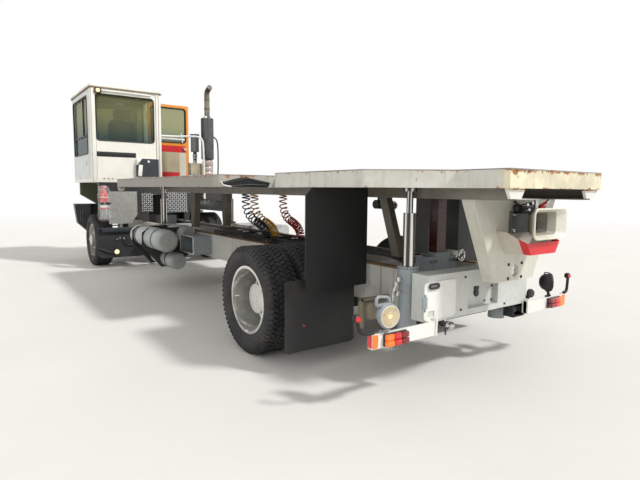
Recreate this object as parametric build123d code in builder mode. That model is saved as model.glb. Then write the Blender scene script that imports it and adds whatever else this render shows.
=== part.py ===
"""Terminal tractor with a cab at the front left and a flat deck that four hydraulic cylinders lift.

Millimetres. X runs forward, Y to the left, Z up. The origin is on the ground, halfway along and across.
"""

import os
from math import ceil, radians, tan

from build123d import *

os.makedirs("parts", exist_ok=True)

# Clearances
running_gap = 0.05
seat_gap = 0.3
moving_gap = 6
cut_over = 1

# Axles and overhangs: every place along the truck is taken from one of the two axles
rear_axle_x = -2700
wheelbase = 6150
front_axle_x = rear_axle_x + wheelbase
deck_rear_x = rear_axle_x - 2090
bumper_front_x = front_axle_x + 1340

# Wheels
tyre_radius = 472
tyre_width = 315
tyre_wall = 22
tread_half = 132
shoulder_radius = 418
sidewall_radius = 360
shoulder_round = 18
bead_radius = 286
rim_flange_radius = 298.5
rim_half_width = 114
rim_flange = 12
rim_wall = 11
outer_wheel_y = 1083
twin_spacing = 350
disc_wall = 20
disc_radius = 228
hand_hole_radius = 24
hand_hole_circle = 178
hand_holes = 10
hub_radius = 118
hub_reach = 112
front_hub_radius = 104
front_disc_offset = 62
spindle_radius = 45
drum_radius = 205
drum_inner_y = 650
front_drum_reach = 150
bearing_end_gap = 8
axle_z = tyre_radius

# Chassis frame
rail_outer_y = 430
rail_web = 10
rail_flange = 90
rail_bottom = 505
rail_top = 815
rail_rear_x = rear_axle_x - 1370
rail_front_x = front_axle_x + 1130
crossmember_half = 45
crossmember_z = (600, 800)

# Box across the rear end of the rails
box_depth = 150
box_half_width = 600
box_z = (510, 845)
box_wall = 10
pocket_y = (-210, 160)
pocket_z = (555, 720)
pocket_depth = 45
pocket_plate = 6
slot_centre = (5, 672)
slot_size = (100, 62)
cover_y = (310, 640)
cover_z = (530, 800)
cover_wall = 8
cover_round = 30
cover_notch = (70, 44)

# Rear axle, set rigidly under the rails
housing_half = 75
housing_top = 550
arch_half_length = 105
arch_wall = 10
differential_radius = 210
pinion_reach = 290
pinion_radius = 70
shaft_radius = 45
shaft_flange = 14
shaft_flange_radius = 67
bearing_x = front_axle_x - 3650
bearing_half_width = 70
bearing_bottom = 395

# Engine and gearbox
engine_x = (front_axle_x + 60, front_axle_x + 990)
engine_y = (-330, 320)
sump_half_width = 300
engine_bottom = 570
engine_top = 1300
gearbox_rear_x = front_axle_x - 560
gearbox_half_width = 190
gearbox_top = 930
engine_mount = (100, 30)

# Front axle, springs and steering
beam_half_length = 52
beam_top = 430
beam_depth = 100
beam_neck = 100
beam_neck_half = 34
head_radius = 38
head_half = 65
kingpin_y = 850
kingpin_radius = 24
kingpin_bottom = 330
kingpin_top = 615
fork_half = 70
fork_inner = 50
fork_web = 45
knuckle_half = 62
steering_arm = (190, 50, 30)
spring_width = 76
spring_leaf = 13
spring_leaves = 4
spring_reach = 520
spring_rise = 110
hanger_half = 45

# Lift cylinders
rear_lift_x = rear_axle_x - 1280
front_lift_x = front_axle_x - 2145
rear_lift_y = 550
front_lift_y = 580
barrel_radius = 70
barrel_bottom = 345
barrel_floor = 13
gland_top = 880
gland_radius = 80
gland_height = 125
barrel_clamp_half = 50
barrel_clamp = 60
stage_radius = 45
stage_bottom = 700
stage_top = 1270
stage_foot = 12
rod_radius = 24
rod_bottom = 900
rod_eye_height = 24
rod_eye_radius = 48

# Deck
deck_top = 1570
deck_plate_wall = 8
fascia_bottom = 1450
fascia_wall = 8
fascia_lip = 45
deck_corner = 60
deck_half_width = 1220
deck_front_x = front_axle_x - 1950
notch_front_x = rear_axle_x + 522
notch_rear_x = rear_axle_x - 134
notch_y = 600
rear_half_width = 1030
taper_start_x = rear_axle_x - 1300
taper_end_x = rear_axle_x - 1700
neck_half_width = 555
beam_outer_y = 500
beam_width = 90
beam_wall = 10
deck_beam_bottom = 1375
cross_beam_half = 45
cross_pitch = 500
lug_x = deck_rear_x + 20
lug_wall = 20
lug_y = (360, 550)
lug_taper = 40
lug_bottom = 1385
hook_bottom = 1390
hook_width = 120

# Coiled air lines between chassis and deck
hose_chassis_x = rear_axle_x + 1200
hose_deck_x = rear_axle_x + 1650
hose_radius = 48
hose_straight = 150
port_height = 35
port_radius = 16
# columns: name, distance from the middle at the top, and at the foot
hose_table = (("black", 355, 315), ("yellow", 240, 205), ("red", -175, -150))

# Rear plate and coupling that hang from the deck
rear_plate_x = rear_axle_x - 1780
rear_plate_wall = 12
rear_plate_bottom = 798
rear_plate_top_half = 490
rear_plate_foot_half = 225
rear_plate_flange = 90
tow_hole_z = 868
tow_hole_radius = 50
bolt_across = 160
bolt_up = 100
bolt_hole_radius = 10
coupling_z = 1218
coupling_flange = (100, 75, 20)
flange_round = 14
mouth_x = rear_axle_x - 2045
mouth_half_width = 197
mouth_half_height = 105
mouth_round = 42
mouth_wall = 11
mouth_throat_half = 62
throat_round = 16
mouth_depth = 130
coupling_knob = (46, 60)
coupling_lever = (150, 14)
pin_radius = 24
pin_tip = 10
tray_lip_x = rear_axle_x - 2000
tray_z = (1010, 1090)
tray_side_top = 1160
tray_half = (150, 200)
tray_wall = 6
tray_rise = 140

# Guides between deck and chassis
column_x = rear_axle_x - 1060
column_half = 50
column_bottom = 700
guide_wall = 16
guide_half_width = 165
guide_z = (600, 930)
guide_carrier = (33, 560, 740)
side_plate_y = (178, 188)
side_plate_x = (rear_axle_x - 1140, rear_axle_x - 1000)
side_plate_bottom = 935
arm_y = (238, 302)
front_guide_x = front_axle_x - 2650
front_guide_y = 260
front_guide_half = (45, 95, 50)
guide_bottom = 850
guide_shoulder = 1150

# Side equipment on the left
tank_dome = 45
tank_plate_wall = 12
tank_plate_places = (front_axle_x - 2950, front_axle_x - 2480)
outrigger_x = (front_axle_x - 3630, front_axle_x - 3150)
outrigger_z = (554, 795)
outrigger_reach = 690
outrigger_wall = 10

# Fuel tank on the right
fuel_x = (front_axle_x - 3050, front_axle_x - 2300)
fuel_y = (-1180, -480)
fuel_z = (420, 860)
fuel_round = 60
fuel_bracket = (60, 560, 640)

# Rear lamps and flaps
light_bar_depth = 42
light_bar_y = (550, 1145)
light_bar_z = (430, 530)
lamp_depth = 45
tail_lamp_y = (853, 1053)
tail_lamp_z = (438, 522)
work_lamp_radius = 78
work_lamp_depth = 95
# columns: side, distance from the middle, height
work_lamp_table = ((1, 1035, 640), (-1, 885, 660))
marker_y = 1270
marker_z = 672
marker_radius = 24
marker_arm_radius = 10
flap_wall = 8
flap_round = 60
chassis_flap_x = rear_axle_x - 700
chassis_flap_y = (580, 1250)
chassis_flap_z = (180, 740)
flap_bracket = 30
flap_bracket_drop = 60
deck_flap_x = rear_axle_x - 760
deck_flap_y = (beam_outer_y, 1110)
deck_flap_bottom = 660
guard_x = front_axle_x - 680
guard_outer_y = 1270
guard_z = (200, 715)

# Cab
cab_rear_x = front_axle_x - 460
cab_front_x = front_axle_x + 1265
cab_left_y = 1255
cab_right_y = 30
cab_floor_z = 1535
cab_roof_z = 3240
cab_wall = 50
cab_round = 45
roof_wall = 60
roof_round = 30
roof_overhang = 22
floor_wall = 60
glass_wall = 6
window_round = 60
rear_window_y = (165, 1180)
rear_window_z = (2270, 3080)
front_window_y = (cab_right_y + 90, cab_left_y - 90)
front_window_z = (2050, 3090)
left_window_x = (front_axle_x - 140, front_axle_x + 1120)
left_window_z = (2045, 3080)
vent_y = (125, 510)
vent_z = (1650, 1973)
vent_depth = 90
vent_chamfer = 35

# Right-hand door, hinged at its front edge and standing open
door_hinge_x = front_axle_x + 500
door_width = 870
door_bottom = 1600
door_top = 3170
door_wall = 40
door_frame_width = 60
door_window_bottom = 2400
door_step = 50
hinge_pin_radius = 14
knuckle_radius = 22
knuckle_levels = (1850, 2860)
knuckle_height = 80
knuckle_room = 10
lug_height = 30
lug_gap = 0.3
right_window_x = (door_hinge_x + 90, cab_front_x - 130)
right_window_z = (2270, 3080)

# Seat and dashboard
seat_x = (front_axle_x - 100, front_axle_x + 400)
seat_y = (400, 900)
seat_z = (1900, 2020)
seat_column = (200, 150)
backrest = (110, 2700)
headrest = (160, 180)
dash_x = front_axle_x + 910
dash_z = (1960, 2110)
wheel_y = 650
wheel_radius = 215
wheel_rim = 16
wheel_tilt = (-320, 0, 220)
wheel_centre = (front_axle_x + 620, 2300)
wheel_column_radius = 28

# Engine bay, bumper and steps
bay_rear_x = front_axle_x - 590
bay_front_x = front_axle_x + 1030
frame_wall = 60
bay_right_y = -1210
bay_top = 1360
bay_bottom = 975
bay_plate = 8
bay_side_wall = 6
bay_opening_half = 340
frame_shoulder = (1200, 1300)
# columns: lowest and highest Y, lowest and highest Z
bay_panel_table = (
    (265, 465, 1000, 1352),
    (-400, 0, 985, 1352),
)
grey_panel_y = (550, 1045)
grey_panel_z = (795, 1374)
grey_panel_corner = 110
reservoir_x = (front_axle_x - 588, front_axle_x - 495)
reservoir_y = (-760, -470)
reservoir_z = (1700, 1930)
reservoir_leg = 20
bumper_depth = 190
bumper_z = (430, 1110)
bumper_wall = 12
bumper_half = (1080, 1295)
bumper_waist = (1245, 720)
bumper_low = 560
bumper_hollow_half = 1000
bumper_slot = (1175, 34, 770, 970)
headlamp = (760, 90, 760)
lamp_recess = 8
grille_half = 560
grille_z = (536, 1060)
grille_slats = 8
grille_slat = 26
step_x = (front_axle_x + 660, front_axle_x + 1110)
step_wall = 60
step_outer_y = 1250
step_z = (560, bay_bottom - 10)
step_arm_z = (700, 760)
step_arm_x = front_axle_x + 1030
step_tread_height = 130
step_side = 80
extinguisher_x = (front_axle_x - 935, front_axle_x - 765)
extinguisher_y = (1060, 1290)
extinguisher_z = (865, 1490)
extinguisher_round = 60
extinguisher_arm_y = (1090, 1140)
extinguisher_arm_z = (1340, 1400)

# Handrail, exhaust and air intake on the platform beside the cab
rail_tube = 17
handrail_x = front_axle_x - 400
handrail_z = 2430
handrail_top_y = -760
handrail_foot_y = -835
handrail_round = 80
handrail_foot = 50
stack_x = front_axle_x - 530
stack_y = -860
# columns: radius, lowest Z, highest Z
stack_table = (
    (48, bay_top, 1730),
    (84, 1730, 2000),
    (48, 2000, 2010),
    (122, 2010, 2820),
    (51, 2820, 3190),
)
stack_elbow_round = 110
stack_tip = (-150, 3330)
stack_pipe_radius = 51
stack_shoulder = 25
intake_x = front_axle_x - 286
intake_y = -696
# columns: radius, lowest Z, highest Z
intake_table = ((36, bay_top, 2170), (80, 2170, 2490), (92, 2490, 2515))


def block(x, y, z, mode=Mode.ADD):
    """A box between two values on each axis, added to the part being built."""
    centre = ((x[0] + x[1]) / 2, (y[0] + y[1]) / 2, (z[0] + z[1]) / 2)
    with Locations(centre):
        Box(abs(x[1] - x[0]), abs(y[1] - y[0]), abs(z[1] - z[0]), mode=mode)


def post(x, y, z, radius, mode=Mode.ADD):
    """An upright cylinder between two heights."""
    with Locations((x, y, (z[0] + z[1]) / 2)):
        Cylinder(radius, z[1] - z[0], mode=mode)


def cross_bar(x, y, z, radius, mode=Mode.ADD):
    """A cylinder along Y between two values of y."""
    with Locations((x, (y[0] + y[1]) / 2, z)):
        Cylinder(radius, abs(y[1] - y[0]), rotation=(90, 0, 0), mode=mode)


def long_bar(x, y, z, radius, mode=Mode.ADD):
    """A cylinder along X between two values of x."""
    with Locations(((x[0] + x[1]) / 2, y, z)):
        Cylinder(radius, abs(x[1] - x[0]), rotation=(0, 90, 0), mode=mode)


def turned(x, z, outline, mode=Mode.ADD):
    """A form turned about the axle line at x and z; its outline is points of (y, radius)."""
    with BuildSketch(Plane(origin=(x, 0, z), x_dir=(0, 1, 0), z_dir=(1, 0, 0)), mode=Mode.PRIVATE) as section:
        with BuildLine():
            Polyline(*outline, close=True)
        make_face()
    revolve(section.sketch, axis=Axis((x, 0, z), (0, 1, 0)), revolution_arc=360, mode=mode)


def side_plate(y, outline, mode=Mode.ADD):
    """A plate that stands along the truck between two values of y; its outline is points of (x, z)."""
    with BuildSketch(Plane.XZ.offset(-y[1])) as section:
        with BuildLine():
            Polyline(*outline, close=True)
        make_face()
    extrude(section.sketch, amount=y[1] - y[0], mode=mode)


def cross_plate(x, outline, rounded=0, mode=Mode.ADD):
    """A plate that stands across the truck between two values of x; its outline is points of (y, z)."""
    with BuildSketch(Plane.YZ.offset(x[0])) as section:
        with BuildLine():
            Polyline(*outline, close=True)
        make_face()
        if rounded:
            fillet(section.vertices(), radius=rounded)
    extrude(section.sketch, amount=x[1] - x[0], mode=mode)


def cross_window(x, y, z, shrink=0, mode=Mode.SUBTRACT):
    """A round-cornered opening, or the pane in it, across the truck."""
    with BuildSketch(Plane.YZ.offset(x[0])) as section:
        with Locations(((y[0] + y[1]) / 2, (z[0] + z[1]) / 2)):
            RectangleRounded(y[1] - y[0] - 2 * shrink, z[1] - z[0] - 2 * shrink, window_round)
    extrude(section.sketch, amount=x[1] - x[0], mode=mode)


def side_window(y, x, z, shrink=0, mode=Mode.SUBTRACT):
    """A round-cornered opening, or the pane in it, along the truck."""
    with BuildSketch(Plane.XZ.offset(-y[1])) as section:
        with Locations(((x[0] + x[1]) / 2, (z[0] + z[1]) / 2)):
            RectangleRounded(x[1] - x[0] - 2 * shrink, z[1] - z[0] - 2 * shrink, window_round)
    extrude(section.sketch, amount=y[1] - y[0], mode=mode)


def finish(piece, name):
    """Label a finished piece and write it."""
    piece.part.label = name
    export_step(piece.part, f"parts/{name}.step")


# Tyres: an open section that stands on the rim's bead seats
tyre_bead = bead_radius + seat_gap


def tyre(x, centre_y):
    """One tyre with its inside open towards the rim."""
    half = tyre_width / 2
    with BuildSketch(Plane(origin=(x, centre_y, axle_z), x_dir=(0, 1, 0), z_dir=(1, 0, 0))) as section:
        with BuildLine():
            Polyline(
                (-rim_half_width, tyre_bead),
                (-rim_half_width, rim_flange_radius + 3),
                (-half, sidewall_radius),
                (-half, shoulder_radius),
                (-tread_half, tyre_radius),
                (tread_half, tyre_radius),
                (half, shoulder_radius),
                (half, sidewall_radius),
                (rim_half_width, rim_flange_radius + 3),
                (rim_half_width, tyre_bead),
                close=True,
            )
        make_face()
        rounded = [v for v in section.vertices() if v.Z > axle_z + sidewall_radius - 10]
        fillet(rounded, radius=shoulder_round)
        with BuildLine():
            Polyline(
                (-rim_half_width + tyre_wall, tyre_bead),
                (-half + tyre_wall, sidewall_radius),
                (-half + tyre_wall, shoulder_radius - 8),
                (-tread_half + tyre_wall, tyre_radius - tyre_wall),
                (tread_half - tyre_wall, tyre_radius - tyre_wall),
                (half - tyre_wall, shoulder_radius - 8),
                (half - tyre_wall, sidewall_radius),
                (rim_half_width - tyre_wall, tyre_bead),
                close=True,
            )
        make_face(mode=Mode.SUBTRACT)
    revolve(section.sketch, axis=Axis((x, centre_y, axle_z), (0, 1, 0)), revolution_arc=360)


for side_name, side in (("left", 1), ("right", -1)):
    with BuildPart() as front_tyre:
        tyre(front_axle_x, side * outer_wheel_y)
    finish(front_tyre, f"front_tyre_{side_name}")

    with BuildPart() as rear_tyres:
        tyre(rear_axle_x, side * outer_wheel_y)
        tyre(rear_axle_x, side * (outer_wheel_y - twin_spacing))
    finish(rear_tyres, f"rear_tyres_{side_name}")

# Rims: the rear pair bolts disc to disc on one hub, the front one has its disc near the outside
rim_edge = rim_half_width + rim_flange
barrel_inner = bead_radius - rim_wall
twin_middle_y = outer_wheel_y - twin_spacing / 2
hub_bore = hub_radius - 20
disc_rise = 6


def cut_hand_holes(x, y):
    """The ring of round holes through a wheel disc between two values of y."""
    with Locations(Plane(origin=(x, (y[0] + y[1]) / 2, axle_z), x_dir=(1, 0, 0), z_dir=(0, 1, 0))):
        with PolarLocations(hand_hole_circle, hand_holes):
            Cylinder(hand_hole_radius, abs(y[1] - y[0]), mode=Mode.SUBTRACT)


for side_name, side in (("left", 1), ("right", -1)):
    with BuildPart() as rear_rims:
        for row in (-1, 1):
            rim_y = twin_middle_y + row * twin_spacing / 2
            near = rim_y - row * rim_edge
            far = rim_y + row * rim_edge
            turned(
                rear_axle_x,
                axle_z,
                [
                    (side * twin_middle_y, hub_bore),
                    (side * twin_middle_y, disc_radius),
                    (side * (near + row * disc_rise), bead_radius),
                    (side * near, rim_flange_radius),
                    (side * (near + row * rim_flange), rim_flange_radius),
                    (side * (near + row * rim_flange), bead_radius),
                    (side * (far - row * rim_flange), bead_radius),
                    (side * (far - row * rim_flange), rim_flange_radius),
                    (side * far, rim_flange_radius),
                    (side * far, barrel_inner),
                    (side * (near + row * 2 * rim_flange), barrel_inner),
                    (side * (twin_middle_y + row * disc_wall / 2), disc_radius - disc_wall),
                    (side * (twin_middle_y + row * disc_wall / 2), hub_bore),
                ],
            )
        cut_hand_holes(rear_axle_x, (side * (twin_middle_y - disc_wall), side * (twin_middle_y + disc_wall)))
        hub_end = twin_middle_y + hub_reach
        cross_bar(rear_axle_x, (side * drum_inner_y, side * hub_end), axle_z, hub_radius)
        drum_outer_y = twin_middle_y - 2 * disc_wall
        cross_bar(rear_axle_x, (side * drum_inner_y, side * drum_outer_y), axle_z, drum_radius)
        spindle_end = hub_end - 30
        cross_bar(
            rear_axle_x,
            (side * (drum_inner_y - cut_over), side * (spindle_end + bearing_end_gap)),
            axle_z,
            spindle_radius + running_gap,
            mode=Mode.SUBTRACT,
        )
    finish(rear_rims, f"rear_rims_{side_name}")

    disc_y = outer_wheel_y + front_disc_offset
    disc_near = disc_y - disc_wall / 2
    disc_far = disc_y + disc_wall / 2
    front_hub_end = outer_wheel_y + tyre_width / 2 - 6
    front_drum_y = outer_wheel_y - front_drum_reach
    with BuildPart() as front_rim:
        turned(
            front_axle_x,
            axle_z,
            [
                (side * disc_near, front_hub_radius - 14),
                (side * disc_near, disc_radius),
                (side * (disc_near - 1.5 * disc_wall), barrel_inner),
                (side * (outer_wheel_y - rim_edge), barrel_inner),
                (side * (outer_wheel_y - rim_edge), rim_flange_radius),
                (side * (outer_wheel_y - rim_half_width), rim_flange_radius),
                (side * (outer_wheel_y - rim_half_width), bead_radius),
                (side * (outer_wheel_y + rim_half_width), bead_radius),
                (side * (outer_wheel_y + rim_half_width), rim_flange_radius),
                (side * (outer_wheel_y + rim_edge), rim_flange_radius),
                (side * (outer_wheel_y + rim_edge), barrel_inner),
                (side * (disc_far - 1.2 * disc_wall), barrel_inner),
                (side * disc_far, disc_radius),
                (side * disc_far, front_hub_radius - 14),
            ],
        )
        cut_hand_holes(front_axle_x, (side * (disc_y - disc_wall), side * (disc_y + disc_wall)))
        cross_bar(front_axle_x, (side * front_drum_y, side * front_hub_end), axle_z, front_hub_radius)
        cross_bar(
            front_axle_x,
            (side * front_drum_y, side * (disc_y - 2 * disc_wall)),
            axle_z,
            drum_radius - 20,
        )
        front_spindle_end = front_hub_end - 40
        cross_bar(
            front_axle_x,
            (side * (front_drum_y - cut_over), side * (front_spindle_end + bearing_end_gap)),
            axle_z,
            spindle_radius + running_gap,
            mode=Mode.SUBTRACT,
        )
    finish(front_rim, f"front_rim_{side_name}")

    knuckle_out = front_drum_y - moving_gap
    with BuildPart() as knuckle:
        block(
            (front_axle_x - knuckle_half, front_axle_x + knuckle_half),
            (side * (kingpin_y - fork_inner), side * knuckle_out),
            (kingpin_bottom, kingpin_top),
        )
        block(
            (front_axle_x - knuckle_half - cut_over, front_axle_x + knuckle_half + cut_over),
            (side * (kingpin_y - fork_inner - cut_over), side * (kingpin_y + fork_web)),
            (axle_z - fork_half, axle_z + fork_half),
            mode=Mode.SUBTRACT,
        )
        spindle_y = (side * (knuckle_out - cut_over), side * front_spindle_end)
        cross_bar(front_axle_x, spindle_y, axle_z, spindle_radius)
        post(front_axle_x, side * kingpin_y, (kingpin_bottom, kingpin_top), kingpin_radius)
        arm_length, arm_width, arm_height = steering_arm
        block(
            (front_axle_x - arm_length, front_axle_x - knuckle_half),
            (side * (kingpin_y - fork_inner), side * (kingpin_y - fork_inner + arm_width)),
            (kingpin_bottom, kingpin_bottom + arm_height),
        )
    finish(knuckle, f"knuckle_{side_name}")

# Front axle beam, dropped in the middle, with a round bored head for each kingpin
spring_seat_y = rail_outer_y + spring_width + 40
neck_y = kingpin_y - beam_neck
with BuildPart() as front_axle:
    cross_plate(
        (front_axle_x - beam_half_length, front_axle_x + beam_half_length),
        [
            (-neck_y, axle_z - head_half),
            (-neck_y, axle_z + head_half),
            (-spring_seat_y, beam_top),
            (spring_seat_y, beam_top),
            (neck_y, axle_z + head_half),
            (neck_y, axle_z - head_half),
            (spring_seat_y, beam_top - beam_depth),
            (-spring_seat_y, beam_top - beam_depth),
        ],
    )
    for side in (1, -1):
        block(
            (front_axle_x - beam_neck_half, front_axle_x + beam_neck_half),
            (side * neck_y, side * kingpin_y),
            (axle_z - head_half, axle_z + head_half),
        )
        post(front_axle_x, side * kingpin_y, (axle_z - head_half, axle_z + head_half), head_radius)
        post(
            front_axle_x,
            side * kingpin_y,
            (axle_z - head_half - cut_over, axle_z + head_half + cut_over),
            kingpin_radius + running_gap,
            mode=Mode.SUBTRACT,
        )
finish(front_axle, "front_axle")

# Front leaf springs, outboard of the rails, with their hangers
spring_y = (rail_outer_y + 6, rail_outer_y + 6 + spring_width)
with BuildPart() as leaf_springs:
    for leaf in range(spring_leaves):
        reach = spring_reach * (1 - 0.2 * leaf)
        rise = spring_rise * (reach / spring_reach) ** 2
        low = beam_top + (spring_leaves - 1 - leaf) * spring_leaf
        with BuildSketch(Plane.XZ.offset(-spring_y[1])):
            with BuildLine():
                ThreePointArc(
                    (front_axle_x - reach, low + rise),
                    (front_axle_x, low),
                    (front_axle_x + reach, low + rise),
                )
                Line((front_axle_x + reach, low + rise), (front_axle_x + reach, low + rise + spring_leaf))
                ThreePointArc(
                    (front_axle_x + reach, low + rise + spring_leaf),
                    (front_axle_x, low + spring_leaf),
                    (front_axle_x - reach, low + rise + spring_leaf),
                )
                Line((front_axle_x - reach, low + rise + spring_leaf), (front_axle_x - reach, low + rise))
            make_face()
        extrude(amount=spring_width)
    hanger_z = beam_top + spring_rise + (spring_leaves - 1) * spring_leaf
    for end in (-1, 1):
        hanger_x = front_axle_x + end * (spring_reach + 20)
        block(
            (hanger_x - hanger_half, hanger_x + hanger_half),
            (rail_outer_y, spring_y[1] + 8),
            (hanger_z - 20, hanger_z + 150),
        )
    mirror(about=Plane.XZ)
finish(leaf_springs, "leaf_springs")

# Chassis rails: channels that open inwards, arched over the rear axle's housing
rail_inner_y = rail_outer_y - rail_flange
web_inner_y = rail_outer_y - rail_web
with BuildPart() as chassis_rails:
    with BuildSketch(Plane.YZ.offset(rail_rear_x)):
        with BuildLine():
            Polyline(
                (rail_outer_y, rail_bottom),
                (rail_outer_y, rail_top),
                (rail_inner_y, rail_top),
                (rail_inner_y, rail_top - rail_web),
                (web_inner_y, rail_top - rail_web),
                (web_inner_y, rail_bottom + rail_web),
                (rail_inner_y, rail_bottom + rail_web),
                (rail_inner_y, rail_bottom),
                close=True,
            )
        make_face()
    extrude(amount=rail_front_x - rail_rear_x)
    arch_x = (rear_axle_x - arch_half_length, rear_axle_x + arch_half_length)
    block(
        arch_x,
        (rail_inner_y - cut_over, rail_outer_y + cut_over),
        (rail_bottom - cut_over, housing_top + arch_wall),
        mode=Mode.SUBTRACT,
    )
    for end in (-1, 1):
        side_x = rear_axle_x + end * arch_half_length
        block(
            (side_x, side_x + end * arch_wall),
            (rail_inner_y, rail_outer_y),
            (rail_bottom, housing_top + 2 * arch_wall),
        )
    block(arch_x, (rail_inner_y, rail_outer_y), (housing_top, housing_top + arch_wall * 2))
    block(
        (chassis_flap_x + flap_wall, chassis_flap_x + flap_wall + flap_bracket),
        (rail_outer_y, chassis_flap_y[1] - 2 * flap_bracket),
        (chassis_flap_z[1] - flap_bracket_drop, chassis_flap_z[1] - flap_bracket_drop + flap_bracket),
    )
    mirror(about=Plane.XZ)
finish(chassis_rails, "chassis_rails")

# Crossmembers between the rail webs; the longest shaft's bearing hangs from one of them
crossmember_places = (
    rear_axle_x - 600,
    rear_axle_x + 450,
    hose_chassis_x,
    bearing_x,
    front_axle_x - 2350,
    front_axle_x - 1150,
    front_axle_x + 1060,
)
with BuildPart() as crossmembers:
    low, high = crossmember_z
    for middle_x in crossmember_places:
        channel_x = (middle_x - crossmember_half, middle_x + crossmember_half)
        block(channel_x, (-web_inner_y, web_inner_y), (low, high))
        block(
            (channel_x[0] + rail_web, channel_x[1] + cut_over),
            (-web_inner_y - cut_over, web_inner_y + cut_over),
            (low + rail_web, high - rail_web),
            mode=Mode.SUBTRACT,
        )
    for hose_name, top_y, foot_y in hose_table:
        post(hose_chassis_x, foot_y, (high, high + port_height), port_radius)
    bearing_length = (bearing_x - crossmember_half, bearing_x + crossmember_half)
    block(bearing_length, (-bearing_half_width, bearing_half_width), (bearing_bottom, low))
    long_bar(
        (bearing_length[0] - cut_over, bearing_length[1] + cut_over),
        0,
        axle_z,
        shaft_radius + running_gap,
        mode=Mode.SUBTRACT,
    )
finish(crossmembers, "crossmembers")

# Box across the rear end of the rails, with a pocket for the sockets
box_rear_x = rail_rear_x - box_depth
with BuildPart() as rear_box:
    block((box_rear_x, rail_rear_x), (-box_half_width, box_half_width), box_z)
    block(
        (box_rear_x + box_wall, rail_rear_x - box_wall),
        (-box_half_width + box_wall, box_half_width - box_wall),
        (box_z[0] - cut_over, box_z[1] - box_wall),
        mode=Mode.SUBTRACT,
    )
    block(
        (box_rear_x - cut_over, box_rear_x + box_wall + cut_over),
        pocket_y,
        pocket_z,
        mode=Mode.SUBTRACT,
    )
    pocket_back = box_rear_x + pocket_depth
    block(
        (box_rear_x + box_wall, pocket_back + pocket_plate),
        (pocket_y[0] - pocket_plate, pocket_y[1] + pocket_plate),
        (pocket_z[0] - pocket_plate, pocket_z[1] + pocket_plate),
    )
    block((box_rear_x, pocket_back), pocket_y, pocket_z, mode=Mode.SUBTRACT)
    with BuildSketch(Plane.YZ.offset(pocket_back - cut_over)) as plug_hole:
        with Locations(slot_centre):
            SlotOverall(slot_size[0], slot_size[1], rotation=90)
    extrude(plug_hole.sketch, amount=pocket_plate + 2 * cut_over, mode=Mode.SUBTRACT)
finish(rear_box, "rear_box")

# Rear axle: square housing under the rail arches, round differential, spindles into the hubs
with BuildPart() as rear_axle:
    block(
        (rear_axle_x - housing_half, rear_axle_x + housing_half),
        (-drum_inner_y + 40, drum_inner_y - 40),
        (housing_top - 2 * housing_half, housing_top),
    )
    with Locations((rear_axle_x, 0, axle_z)):
        Sphere(differential_radius)
    long_bar((rear_axle_x, rear_axle_x + pinion_reach), 0, axle_z, pinion_radius)
    spindle_tip = twin_middle_y + hub_reach - 30
    cross_bar(rear_axle_x, (-spindle_tip, spindle_tip), axle_z, spindle_radius)
finish(rear_axle, "rear_axle")

# Engine with its gearbox, and the shaft to the rear axle
gearbox_bottom = axle_z - 90
beam_room = 3 * beam_half_length
with BuildPart() as engine_block:
    block(engine_x, engine_y, (rail_top + 10, engine_top))
    block(engine_x, (-sump_half_width, sump_half_width), (engine_bottom, rail_top + 10))
    block(
        (gearbox_rear_x, front_axle_x - beam_room),
        (-gearbox_half_width, gearbox_half_width),
        (gearbox_bottom, gearbox_top),
    )
    block(
        (front_axle_x - beam_room, engine_x[0]),
        (-gearbox_half_width, gearbox_half_width),
        (engine_bottom, gearbox_top),
    )
    mount_half, mount_height = engine_mount[0] / 2, engine_mount[1]
    for mount_x in (engine_x[0] + 2 * engine_mount[0], engine_x[1] - 2 * engine_mount[0]):
        for side in (1, -1):
            block(
                (mount_x - mount_half, mount_x + mount_half),
                (side * sump_half_width, side * rail_outer_y),
                (rail_top, rail_top + mount_height),
            )
finish(engine_block, "engine_block")

with BuildPart() as driveshaft:
    shaft_x = (rear_axle_x + pinion_reach, gearbox_rear_x)
    long_bar(shaft_x, 0, axle_z, shaft_radius)
    joint_x = bearing_x + 3 * crossmember_half
    for flange_x in (shaft_x[0], joint_x, joint_x + shaft_flange, shaft_x[1] - shaft_flange):
        long_bar((flange_x, flange_x + shaft_flange), 0, axle_z, shaft_flange_radius)
finish(driveshaft, "driveshaft")

# Lift cylinders: barrel on the chassis, middle stage, rod under the deck
# columns: X, distance from the middle
lift_places = ((rear_lift_x, rear_lift_y), (front_lift_x, front_lift_y))
with BuildPart() as lift_barrels:
    for lift_x, lift_y in lift_places:
        post(lift_x, lift_y, (barrel_bottom, gland_top - gland_height), barrel_radius)
        post(lift_x, lift_y, (gland_top - gland_height, gland_top), gland_radius)
        post(
            lift_x,
            lift_y,
            (barrel_bottom + barrel_floor, gland_top + cut_over),
            stage_radius + running_gap,
            mode=Mode.SUBTRACT,
        )
        for low in (rail_bottom + 20, rail_top - 110):
            block(
                (lift_x - barrel_clamp_half, lift_x + barrel_clamp_half),
                (rail_outer_y, lift_y - stage_radius - barrel_floor),
                (low, low + barrel_clamp),
            )
    mirror(about=Plane.XZ)
finish(lift_barrels, "lift_barrels")

with BuildPart() as lift_stages:
    for lift_x, lift_y in lift_places:
        post(lift_x, lift_y, (stage_bottom, stage_top), stage_radius)
        post(
            lift_x,
            lift_y,
            (stage_bottom + stage_foot, stage_top + cut_over),
            rod_radius + running_gap,
            mode=Mode.SUBTRACT,
        )
    mirror(about=Plane.XZ)
finish(lift_stages, "lift_stages")

with BuildPart() as lift_rods:
    for lift_x, lift_y in lift_places:
        post(lift_x, lift_y, (rod_bottom, fascia_bottom), rod_radius)
        post(lift_x, lift_y, (fascia_bottom - rod_eye_height, fascia_bottom), rod_eye_radius)
    mirror(about=Plane.XZ)
finish(lift_rods, "lift_rods")

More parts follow.
